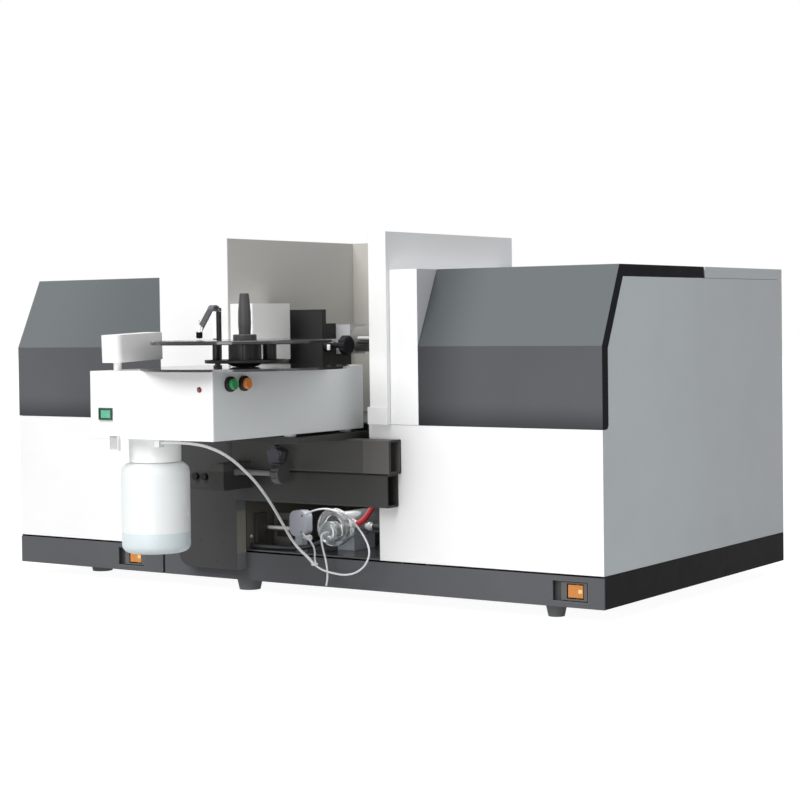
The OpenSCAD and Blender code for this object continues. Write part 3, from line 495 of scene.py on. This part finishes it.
plinth_coat = coat("plinth_coat", linear(90, 91, 94), rough=0.5, spread=0.05, shine=0.16)
chassis_coat = coat("chassis_coat", linear(30, 30, 32), rough=0.6, shine=0.05)
tray_coat = coat("tray_coat", linear(76, 78, 80), rough=0.24)
deck_coat = coat("deck_coat", linear(83, 83, 85), rough=0.5)
furnace_coat = coat("furnace_coat", linear(42, 42, 42), rough=0.55, peel=0.25, shine=0.3)
dress(plinth_coat, "plinth_fascias")
dress(chassis_coat, "base_pan")
dress(tray_coat, "bay_floor")
dress(deck_coat, "compartment_deck")
dress(furnace_coat, "furnace_body")

# %% [markdown]
# Some solids carry more than one tone: a folded side that was painted apart, a pin, a sleeve over a
# rail. They could be cut into more pieces, but a mask in the shader does it without touching the shape.
# A mask is one where it holds and zero elsewhere. Two kinds are enough here: the faces that look one
# way, and the part that lies between two coordinates.

# %% Masks


def facing_mask(tree, facing, least):
    """One on faces that look along an axis, given as "+X" or "-Y"."""
    sign, axis = facing
    place = put(tree, "ShaderNodeNewGeometry")
    parts = put(tree, "ShaderNodeSeparateXYZ")
    along = put(tree, "ShaderNodeMath", {1: 1 if sign == "+" else -1}, operation="MULTIPLY")
    mask = put(tree, "ShaderNodeMath", {1: least}, operation="GREATER_THAN")
    tree.links.new(place.outputs["True Normal"], parts.inputs[0])
    tree.links.new(parts.outputs[axis], along.inputs[0])
    tree.links.new(along.outputs[0], mask.inputs[0])
    return mask.outputs[0]


def coordinate(tree, axis):
    """Where a point of the surface lies along an axis, in metres."""
    place = put(tree, "ShaderNodeTexCoord")
    parts = put(tree, "ShaderNodeSeparateXYZ")
    tree.links.new(place.outputs["Object"], parts.inputs[0])
    return parts.outputs[axis]


def metres(axis, value):
    """A coordinate in millimetres as the scene counts it; depths start at the front plane."""
    return value * MM + (FRONT_Y if axis == "Y" else 0)


def span_mask(tree, axis, low, high):
    """One between two coordinates, in millimetres."""
    values = {1: metres(axis, (low + high) / 2), 2: (high - low) / 2 * MM}
    inside = put(tree, "ShaderNodeMath", values, operation="COMPARE")
    tree.links.new(coordinate(tree, axis), inside.inputs[0])
    return inside.outputs[0]


print("the masks count the front plane at", round(metres("Y", 0), 4), "m")

# %% [markdown]
# The covers, the pillars and the shield round the middle compartment are white sheet. White paint looks
# best a little below pure white, so that light can still model it. Their right hand sides carry painted
# shade, a cooler, greyer white. The shield's inside carries painted shade too, warmer and darker than
# its front, as it gets its light from the other walls, and its outer right wall a slighter painted
# shade.
# `tint` lays such a second tone over a coat where all its masks agree.

# %% White sheet
LEAST_FACING = 0.8
# Blender numbers a mix node's sockets for colours in this way
MIX_FACTOR = 0
MIX_FIRST = 6
MIX_SECOND = 7
MIX_RESULT = 2
# Places for second tones, as spans in millimetres
INNER_LEFT_WALL = dict(X=(-83, -81))
INNER_BACK_WALL = dict(Y=(290, 292))
OUTER_RIGHT_WALL = dict(X=(184, 186))


def tint(material, colour, facing=None, least=LEAST_FACING, **spans):
    """Paint a second colour where faces look one way and lie within spans, as Z=(57, 116)."""
    tree = material.node_tree
    masks = [span_mask(tree, axis, *span) for axis, span in spans.items()]
    if facing:
        masks.append(facing_mask(tree, facing, least))
    mask = masks[0]
    for other in masks[1:]:
        product = put(tree, "ShaderNodeMath", operation="MULTIPLY")
        tree.links.new(mask, product.inputs[0])
        tree.links.new(other, product.inputs[1])
        mask = product.outputs[0]
    paint = tree.nodes["Principled BSDF"].inputs["Base Color"]
    colours = {MIX_FIRST: paint.default_value, MIX_SECOND: colour}
    mix = put(tree, "ShaderNodeMix", colours, data_type="RGBA")
    if paint.links:
        tree.links.new(paint.links[0].from_socket, mix.inputs[MIX_FIRST])
    tree.links.new(mask, mix.inputs[MIX_FACTOR])
    tree.links.new(mix.outputs[MIX_RESULT], paint)


white_coat = coat("white_coat", linear(250, 250, 250), rough=0.42)
# Painted shade: faces that look to the right get a greyer, cooler white.
tint(white_coat, linear(214, 216, 221), facing="+X")
dress(white_coat, "left_lower_cover", "right_lower_cover", "left_pillar", "right_pillar")

shield_coat = coat("shield_coat", linear(250, 250, 249), rough=0.42)
# Painted shade on the inner left and back walls, and a lighter painted shade on the outer right wall.
tint(shield_coat, linear(200, 199, 195), **INNER_LEFT_WALL)
tint(shield_coat, linear(200, 197, 191), facing="-Y", **INNER_BACK_WALL)
tint(shield_coat, linear(238, 239, 241), facing="+X", **OUTER_RIGHT_WALL)
dress(shield_coat, "shield")

# %% [markdown]
# The cabinet's flat sides, its top and its back are a pale grey. Their colour carries painted light: it
# grows lighter towards the front, as the light falls off towards the back. A lamp could do that, but it
# would light the other pieces too, so `fade` scales the coat's colour smoothly along an axis.

# %% Grey sheet
PANEL_FRONT = 0
PANEL_BACK = 520
PANEL_FRONT_PAINTED_LIGHT = 1.15
PANEL_BACK_PAINTED_SHADE = 0.95


def fade(material, axis, start, end, first, last=1.0):
    """Painted light and shade: scale a finish's colour smoothly between two factors and two
    coordinates.
    """
    tree = material.node_tree
    paint = tree.nodes["Principled BSDF"].inputs["Base Color"]
    course = put(tree, "ShaderNodeMapRange", {
        "From Min": metres(axis, start), "From Max": metres(axis, end), "To Min": first, "To Max": last,
    }, interpolation_type="SMOOTHSTEP")
    scaled = put(tree, "ShaderNodeVectorMath", operation="SCALE")
    tree.links.new(coordinate(tree, axis), course.inputs["Value"])
    tree.links.new(paint.links[0].from_socket, scaled.inputs[0])
    tree.links.new(course.outputs["Result"], scaled.inputs["Scale"])
    tree.links.new(scaled.outputs["Vector"], paint)


panel_coat = coat("panel_coat", linear(195, 202, 206), rough=0.45)
# Painted light towards the front of the panels, painted shade towards the back.
fade(panel_coat, "Y", PANEL_FRONT, PANEL_BACK, PANEL_FRONT_PAINTED_LIGHT, PANEL_BACK_PAINTED_SHADE)
dress(panel_coat, "left_side_panel", "right_side_panel", "rear_top_cover", "rear_panel")

# %% [markdown]
# The two hoods are folded lids in a dull dark grey. Their upright face carries painted shade towards
# the lower lip, their slanted face painted light, paler and cooler than the upright one, and their ends
# are nearly black. A gradient tied to the room would slide over a hood as it lifts, so the fades use
# the hood's own coordinates. Each hood has its own fade along its length, a painted shade that deepens
# towards the middle compartment.

# %% Hoods
HOOD_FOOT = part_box("right_hood")[0].z / MM
LIP_START = HOOD_FOOT - 6
LIP_END = HOOD_FOOT + 34
LIP_PAINTED_SHADE = 0.5
SLANT_FACING = 0.3
# Name, where the painted shade along the hood starts and ends, and its two tones
HOODS = [
    ("left_hood", -480, -250, 1.12, 0.88),
    ("right_hood", 212, 325, 0.5, 1.02),
]
for name, start, end, first, last in HOODS:
    hood_coat = coat(name + "_coat", linear(95, 96, 99), rough=0.5, spread=0.05, shine=0.03)
    # Painted light on the slanted face, which looks up.
    tint(hood_coat, linear(104, 109, 111), facing="+Z", least=SLANT_FACING)
    # Painted shade towards the lower lip, then along the hood towards the middle compartment.
    fade(hood_coat, "Z", LIP_START, LIP_END, LIP_PAINTED_SHADE)
    fade(hood_coat, "X", start, end, first, last)
    for side in ("+X", "-X"):
        tint(hood_coat, linear(20, 20, 24), facing=side)
    dress(hood_coat, name)

# %% [markdown]
# Under the sampler stand a column and two rails in a dark, slightly glossy coat, and behind them lies
# the lower bay. The column's side is lighter than its front, and below the rails it carries painted
# light, a pale band that makes up for the shade a side face gets. Its two pins are black. The upper
# rail is a little paler than the lower one, a painted light against the sampler's shadow, and has a
# sleeve at its end, and both rails are open and dark at their ends. Each of these solids is one piece,
# so its parts are told apart by where they lie.

# %% Support and bay
COLUMN_BELOW_RAILS = dict(Z=(57, 116))
COLUMN_PINS = dict(Y=(-23, -16.3), Z=(156, 168))
UPPER_RAIL = dict(Z=(176.5, 221.5))
RAIL_SLEEVE = dict(X=(158, 202), Z=(176.5, 220.5))
RAIL_ENDS = dict(X=(190, 202))
BAY_LEFT_WALL = dict(X=(-66, -61.9))

column_coat = coat("column_coat", linear(63, 63, 64), rough=0.5, spread=0.08, shine=0.2)
tint(column_coat, linear(122, 123, 126), facing="+X")
# Painted light on the column's side below the rails.
tint(column_coat, linear(142, 140, 131), facing="+X", **COLUMN_BELOW_RAILS)
tint(column_coat, linear(23, 23, 23), **COLUMN_PINS)
dress(column_coat, "support_column")

support_coat = coat("support_coat", linear(64, 64, 63), rough=0.42, spread=0.08, shine=0.25)
# Painted light on the upper rail, against the sampler's shadow.
tint(support_coat, linear(84, 84, 82), **UPPER_RAIL)
tint(support_coat, linear(100, 98, 96), **RAIL_SLEEVE)
tint(support_coat, linear(41, 41, 41), facing="+X", **RAIL_ENDS)
dress(support_coat, "support_rails", "table_plate")

bay_coat = coat("bay_coat", linear(99, 96, 92), rough=0.4)
tint(bay_coat, linear(90, 87, 79), **BAY_LEFT_WALL)
dress(bay_coat, "bay_walls")

# %% [markdown]
# The furnace's contact is one solid with three tones: a pale block with a pale pipe, the grey window
# tube that runs to the right wall, and a dark pipe. The tube's grey is painted shade, and the dark pipe
# is painted shade under the pale one. They stay one solid, because they are fixed to each other, and
# the tube and the dark pipe are picked out by their place.

# %% Furnace contact
WINDOW_TUBE = dict(X=(18.2, 158), Y=(142, 182))
PIPE_PAINTED_SHADE = dict(X=(30, 158), Y=(136, 142), Z=(344, 349.5))

contact_coat = coat("contact_coat", linear(197, 198, 201), rough=0.35, spread=0.06)
# Painted shade on the window tube and on the pipe under the pale one.
tint(contact_coat, linear(122, 121, 118), **WINDOW_TUBE)
tint(contact_coat, linear(48, 48, 49), **PIPE_PAINTED_SHADE)
dress(contact_coat, "furnace_contact")

# %% [markdown]
# The sampler is moulded plastic: a white case and pod, black knobs and bezels. Moulded plastic has a
# coarser, softer grain than paint and wider round edges, so the same recipe serves with other numbers.
# The units inside the cabinets and the feet are made in the same way. The case's right side and the
# holder's recess carry painted shade, and the hub is painted paler than the black knobs, a painted
# light.

# %% Moulded plastics
HOLDER_RECESS = dict(Y=(-292.5, -291.5))

white_plastic = coat("white_plastic", linear(250, 250, 250), rough=0.38, edge=1.2, peel_scale=600)
case_plastic = coat("case_plastic", linear(250, 250, 250), rough=0.38, edge=1.2, peel_scale=600)
# Painted shade: the case's right side gets a greyer white.
tint(case_plastic, linear(230, 234, 235), facing="+X")
holder_plastic = coat("holder_plastic", linear(249, 250, 250), rough=0.4, edge=0.8, peel_scale=600)
# Painted shade in the holder's recess, a grey in the white plastic.
tint(holder_plastic, linear(198, 197, 195), facing="-Y", **HOLDER_RECESS)
# Painted light: the hub is a paler copy of the black plastic, against the tray's shadow.
hub_plastic = coat("hub_plastic", linear(60, 60, 62), rough=0.4, edge=0.5, spread=0.1, shine=0.3)
black_plastic = coat("black_plastic", linear(34, 34, 37), rough=0.42, edge=0.5, spread=0.1, shine=0.22)
unit_plastic = coat("unit_plastic", linear(140, 142, 147), rough=0.5)
foot_rubber = coat("foot_rubber", linear(113, 114, 117), rough=0.75, peel=0.3, edge=1.5)
dress(white_plastic, "pump_pod", "wall_housing")
dress(case_plastic, "sampler_case")
dress(holder_plastic, "bottle_holder")
dress(hub_plastic, "carousel_hub")
dress(black_plastic, "furnace_knob", "button_bezels", "rear_inlet", "monochromator")
dress(unit_plastic, "power_unit", "detector")
dress(foot_rubber, "feet")

# %% [markdown]
# Knobs, grips and switch frames are touched often, so their plastic is greyer and smoother than the
# case. The adjuster's spindle is lighter than its grip, the plinth's switch frames carry painted shade
# inside their pockets, and the sampler's frame is a dark green. The nebuliser's mount in the bay joins
# a pale clamp, a grey bracket, a dark wall post and a white rod. Masks pick these parts out again.

# %% Knobs, frames and bay fittings
ADJUSTER_SPINDLE = dict(X=(-60, 31), Z=(170.5, 179.5))
PLINTH_FRAME_INSIDE = dict(Y=(3.5, 20))
SAMPLER_FRAME = dict(Y=(-300, -270))
MOUNT_BRACKET = dict(X=(-63, -19))
MOUNT_POST = dict(X=(-63, -55.9), Y=(16, 41))
MOUNT_ROD = dict(X=(-63, -18.5), Y=(43, 49), Z=(85, 91))

star_plastic = coat("star_plastic", linear(90, 90, 99), rough=0.45, edge=0.6, spread=0.1, shine=0.3)
knob_plastic = coat("knob_plastic", linear(58, 57, 58), rough=0.48, edge=0.8, spread=0.08)
grip_plastic = coat("grip_plastic", linear(75, 75, 76), rough=0.40, edge=0.8, spread=0.08)
tint(grip_plastic, linear(131, 131, 133), **ADJUSTER_SPINDLE)
frame_plastic = coat("frame_plastic", linear(84, 83, 84), rough=0.42, edge=0.5, spread=0.1)
# Painted shade inside the pockets of the plinth's switch frames.
tint(frame_plastic, linear(44, 45, 47), **PLINTH_FRAME_INSIDE)
tint(frame_plastic, linear(34, 73, 57), **SAMPLER_FRAME)
bay_plastic = coat("bay_plastic", linear(188, 192, 201), rough=0.45, edge=0.8)
tint(bay_plastic, linear(99, 96, 92), **MOUNT_BRACKET)
tint(bay_plastic, linear(53, 50, 46), **MOUNT_POST)
tint(bay_plastic, linear(252, 252, 250), **MOUNT_ROD)
dress(star_plastic, "clamp_knob")
dress(knob_plastic, "carousel_handle")
dress(grip_plastic, "adjuster_knob")
dress(frame_plastic, "switch_frames")
dress(bay_plastic, "nebuliser_mount")

# %% [markdown]
# Rockers, buttons and the indicator are coloured caps. Real ones are tinted right through and polished,
# and the lit ones glow faintly. A clear coat over the plastic recipe gives the polish. A lamp behind
# each cap would be too small to matter, so a little emission gives the glow.

# %% Lenses and caps
LENS_ROUGH = 0.22


def lens(name, colour, glow):
    """A coloured cap or lens: deep colour under a clear coat, with a little light from inside."""
    material = coat(name, colour, rough=LENS_ROUGH, peel=0.03, edge=0.5, spread=0.12, peel_scale=300)
    tune(material.node_tree.nodes["Principled BSDF"], {
        "Coat Weight": 0.6, "Coat Roughness": 0.12,
        "Emission Color": colour, "Emission Strength": glow,
    })
    return material


dress(lens("amber_lens", linear(196, 118, 22), 0.06), "left_rocker", "right_rocker")
dress(lens("green_lens", linear(84, 173, 139), 0.1), "sampler_rocker")
dress(lens("red_lens", linear(122, 25, 34), 0.04), "led")
dress(lens("green_cap", linear(46, 153, 82), 0.0), "start_button")
dress(lens("amber_cap", linear(226, 131, 53), 0.0), "stop_button")

# %% [markdown]
# Bright metal shows its making: turned or brushed strokes that stretch the highlight. A picture of such
# strokes could be laid on, but it would need unfolding to fit each piece. A noise squeezed along one
# axis needs none, and it drives both the gloss and a very low relief. The arm's post and its folded
# strip are darker. The front of the post's head is a painted reflection, bright, and the strip has a
# bright needle holder on a dark collar.

# %% Bright metal
STROKE_DEPTH = 0.2
STROKE_SMOOTHER = 0.08
STROKE_ROUGHER = 0.12
POST_HEAD = dict(Z=(356, 400))
NEEDLE_COLLAR = dict(Z=(355, 365.2))
NEEDLE_HOLDER = dict(Y=(-154, -146), Z=(365.2, 376))


def bright_metal(name, colour, rough=0.28, strokes=(40, 40, 900), depth=0.08):
    """Turned or brushed metal."""
    material, tree, shader = blank(name)
    spots = put(tree, "ShaderNodeTexCoord")
    squeeze = put(tree, "ShaderNodeMapping", {"Scale": strokes})
    brush = put(tree, "ShaderNodeTexNoise", {"Scale": 1, "Detail": 3})
    tree.links.new(spots.outputs["Object"], squeeze.inputs["Vector"])
    tree.links.new(squeeze.outputs["Vector"], brush.inputs["Vector"])
    pattern = brush.outputs["Fac"]
    gloss = gloss_range(tree, pattern, rough - STROKE_SMOOTHER, rough + STROKE_ROUGHER)
    grooves = relief(tree, pattern, depth, STROKE_DEPTH)
    tree.links.new(gloss, shader.inputs["Roughness"])
    tree.links.new(grooves.outputs["Normal"], shader.inputs["Normal"])
    tune(shader, {"Base Color": colour, "Metallic": 1.0})
    return material


bright_steel = bright_metal("bright_steel", linear(196, 197, 199))
dark_steel = bright_metal("dark_steel", linear(70, 70, 72), rough=0.35)
post_steel = bright_metal("post_steel", linear(60, 60, 62), rough=0.3)
# Painted reflection: the front of the post's head is bright.
tint(post_steel, linear(246, 247, 248), facing="-Y", **POST_HEAD)
turned_aluminium = bright_metal("turned_aluminium", linear(205, 207, 209), rough=0.35,
                                strokes=(900, 40, 40))
strip_steel = bright_metal("strip_steel", linear(84, 86, 90), rough=0.24, strokes=(60, 60, 60),
                           depth=0.0)
tint(strip_steel, linear(24, 24, 25), **NEEDLE_COLLAR)
tint(strip_steel, linear(240, 241, 243), **NEEDLE_HOLDER)
dress(bright_steel, "hinge_pins", "needle")
dress(strip_steel, "arm_strip")
dress(post_steel, "arm_post")
dress(turned_aluminium, "lamp_turret", "turret_drive")

# %% [markdown]
# Smoked acrylic and clear plastic let light through. The disc and the tray are dark sheets with a
# mirror gloss, the chamber and the lamps are almost clear, and the fittings are milky. The upper faces
# of the disc and the tray carry painted light, a paler grey, and their undersides painted shade. A
# plain glass shader would make them look perfect. Instead the main shader passes only part of the
# light, and fine scratches break its gloss.

# %% Clear and smoked plastics
ACRYLIC_IOR = 1.49
SCRATCH_SCALE = 220
SCRATCH_START = 0.45
SCRATCH_END = 0.75


def clear_sheet(name, colour, clear, rough=0.06, gloss_spread=0.08):
    """A clear or smoked plastic with fine scratches."""
    material, tree, shader = blank(name)
    scratches = noise(tree, SCRATCH_SCALE, detail=5)
    gloss = gloss_range(tree, scratches, rough, rough + gloss_spread, SCRATCH_START, SCRATCH_END)
    tree.links.new(gloss, shader.inputs["Roughness"])
    tune(shader, {"Base Color": colour, "Transmission Weight": clear, "IOR": ACRYLIC_IOR})
    return material


smoked_sheet = clear_sheet("smoked_sheet", linear(60, 58, 58), 0.5, rough=0.065, gloss_spread=0.06)
# Painted light on the upper faces, painted shade on the undersides.
tint(smoked_sheet, linear(116, 119, 122), facing="+Z")
tint(smoked_sheet, linear(25, 25, 26), facing="-Z")
dress(smoked_sheet, "drip_disc", "carousel_tray")
dress(clear_sheet("chamber_clear", linear(246, 250, 251), 0.88, rough=0.03), "spray_chamber")
dress(clear_sheet("fitting_clear", linear(246, 247, 248), 0.15, rough=0.2), "tube_fittings")
dress(clear_sheet("lamp_glass", linear(226, 230, 232), 0.8), "lamps")

# %% [markdown]
# The wash bottle is blown from milky plastic. Light enters its wall, scatters and leaves elsewhere,
# which a clear or an opaque finish can't show, so the plastic recipe gets subsurface scattering, equal
# for all colours. The water that is left stands in its foot as a slightly darker band.

# %% Wash bottle
WATER_BAND = dict(Z=(80, 113))

bottle_wall = coat("bottle_wall", linear(241, 250, 250), rough=0.4, edge=1.0)
tint(bottle_wall, linear(220, 232, 236), **WATER_BAND)
tune(bottle_wall.node_tree.nodes["Principled BSDF"], {
    "Subsurface Weight": 0.8, "Subsurface Scale": 0.05, "Subsurface Radius": (1, 1, 1),
})
dress(bottle_wall, "bottle")

# %% [markdown]
# Small turned pieces give the eye a scale: screw heads with a driver recess on the back and the column,
# a bolt and a nozzle in the lower bay, and the electrodes inside the lamps. Each could be modelled by
# hand, but all are round, so one outline turned about an axis makes them. Each rides on the body it is
# fixed to, so the electrodes turn with the turret.

# %% Turned pieces
SCREW = [(0.8, 0.6), (1.3, 0.7), (1.4, 1.5), (2.4, 1.5), (3.0, 1.1), (3.2, 0.4), (3.2, 0.0)]
SMALL_WIDTH = 0.55
SMALL_HEIGHT = 0.4
SMALL_SCREW = [(r * SMALL_WIDTH, h * SMALL_HEIGHT) for r, h in SCREW]
NOZZLE = [(0.6, 0), (3.6, 11), (4.2, 12), (4.2, 16)]
CATHODE = [(2.0, 0), (2.0, 14), (6.5, 14), (6.5, 44), (4.5, 44), (4.5, 24), (0.8, 23)]
REAR_Y = 554
REAR_SCREW_X = (-478, -240, 0, 240, 478)
REAR_SCREW_Z = (74, 414)
COLUMN_Y = -20
COLUMN_SCREWS = ((-101, 45.6), (-128, 73.5), (-90, 70.4))
BOLT_SPOT = at(-62, 12, 78)
NOZZLE_SPOT = at(2, 43, 77)
LAMP_BASE_X = -388
TURRET_Y = 162
TURRET_Z = 299.5
LAMP_RING = 52
LAMP_COUNT = 6
TO_RIGHT = (1, 0, 0)
TO_BACK = (0, 1, 0)
TO_FRONT = (0, -1, 0)


def lathe(name, outline, centres, axis, steps=24):
    """Turn an outline of radius and height pairs, in millimetres, about an axis at each centre."""
    aim = Vector((0, 0, 1)).rotation_difference(Vector(axis)).to_matrix().to_4x4()
    verts, faces = [], []
    rings = len(outline)
    for centre in centres:
        place = Matrix.Translation(centre) @ aim
        base = len(verts)
        for radius, height in outline:
            for k in range(steps):
                a = 2 * math.pi * k / steps
                spot = Vector((radius * MM * math.cos(a), radius * MM * math.sin(a), height * MM))
                verts.append(place @ spot)
        for i in range(rings - 1):
            low, high = base + i * steps, base + (i + 1) * steps
            for k in range(steps):
                n = (k + 1) % steps
                faces.append((low + k, low + n, high + n, high + k))
        faces.append(tuple(base + k for k in range(steps)))
        faces.append(tuple(base + (rings - 1) * steps + k for k in range(steps)))
    print(name, len(centres))
    return mesh_object(name, verts, faces)


rear_spots = [at(x, REAR_Y, z) for x in REAR_SCREW_X for z in REAR_SCREW_Z]
column_spots = [at(x, COLUMN_Y, z) for x, z in COLUMN_SCREWS]
lamp_spots = []
for i in range(LAMP_COUNT):
    a = 2 * math.pi * i / LAMP_COUNT
    lamp_y = TURRET_Y - LAMP_RING * math.sin(a)
    lamp_z = TURRET_Z + LAMP_RING * math.cos(a)
    lamp_spots.append(at(LAMP_BASE_X, lamp_y, lamp_z))
adopt(lathe("rear_screws", SCREW, rear_spots, TO_BACK), bright_steel)
adopt(lathe("column_screws", SMALL_SCREW, column_spots, TO_FRONT, steps=20), dark_steel)
adopt(lathe("bay_bolt", SCREW, [BOLT_SPOT], TO_RIGHT), bright_steel)
adopt(lathe("bay_nozzle", NOZZLE, [NOZZLE_SPOT], TO_RIGHT), white_plastic)
adopt(lathe("lamp_cathodes", CATHODE, lamp_spots, TO_RIGHT), dark_steel, body="turret")

# %% [markdown]
# The last small pieces are blocks: a clip beside the furnace knob, a dark strip in the joint of the two
# plinth faces, and the lit windows of the power rockers. The clip stands for a bright metal latch, and
# its white is a painted glint. A block with perfectly sharp edges catches no light along them, so each
# has a small round edge. The windows ride on their rockers and tip with them.

# %% Small blocks
EDGE_STEPS = 3
ROUND_PROFILE = 0.5
BLOCK_SMOOTH_ANGLE = 40
CLIP_CORNERS = (at(1, 109.6, 336), at(6, 112.2, 344))
CLIP_EDGE = 0.7
STRIP_CORNERS = (at(-216.1, 0.7, 18.2), at(-211.9, 1.9, 58.9))
STRIP_EDGE = 0.2
WINDOW_FRONT = 3.1
WINDOW_BACK = 4.2
WINDOW_FOOT = 35.6
WINDOW_TOP = 40.4
WINDOW_EDGE = 0.3
# Body, and the window's left and right side
WINDOWS = [
    ("left_power_switch", -267.4, -261.8),
    ("right_power_switch", 461.6, 467.2),
]


def soft_block(name, low, high, edge):
    """A block between two corners, in metres, with round edges of a size in millimetres."""
    build = bmesh.new()
    bmesh.ops.create_cube(build, size=1)
    size = high - low
    for v in build.verts:
        v.co = Vector((v.co.x * size.x, v.co.y * size.y, v.co.z * size.z)) + (low + high) / 2
    bmesh.ops.bevel(build, geom=build.edges[:], offset=edge * MM, segments=EDGE_STEPS,
                    profile=ROUND_PROFILE, affect="EDGES")
    mesh = bpy.data.meshes.new(name)
    build.to_mesh(mesh)
    build.free()
    mesh.shade_smooth()
    mesh.set_sharp_from_angle(angle=math.radians(BLOCK_SMOOTH_ANGLE))
    print(name, [round(c / MM, 1) for c in size], "mm")
    return bpy.data.objects.new(name, mesh)


clip = soft_block("furnace_clip", *CLIP_CORNERS, CLIP_EDGE)
# Painted glint: the latch is made a white plastic block.
adopt(clip, white_plastic)
strip = soft_block("plinth_strip", *STRIP_CORNERS, STRIP_EDGE)
adopt(strip, chassis_coat)
lit_window = lens("lit_window", linear(226, 196, 124), 0.12)
for body, left, right in WINDOWS:
    low = at(left, WINDOW_FRONT, WINDOW_FOOT)
    high = at(right, WINDOW_BACK, WINDOW_TOP)
    window = soft_block("lit_window_" + body, low, high, WINDOW_EDGE)
    adopt(window, lit_window, body=body)
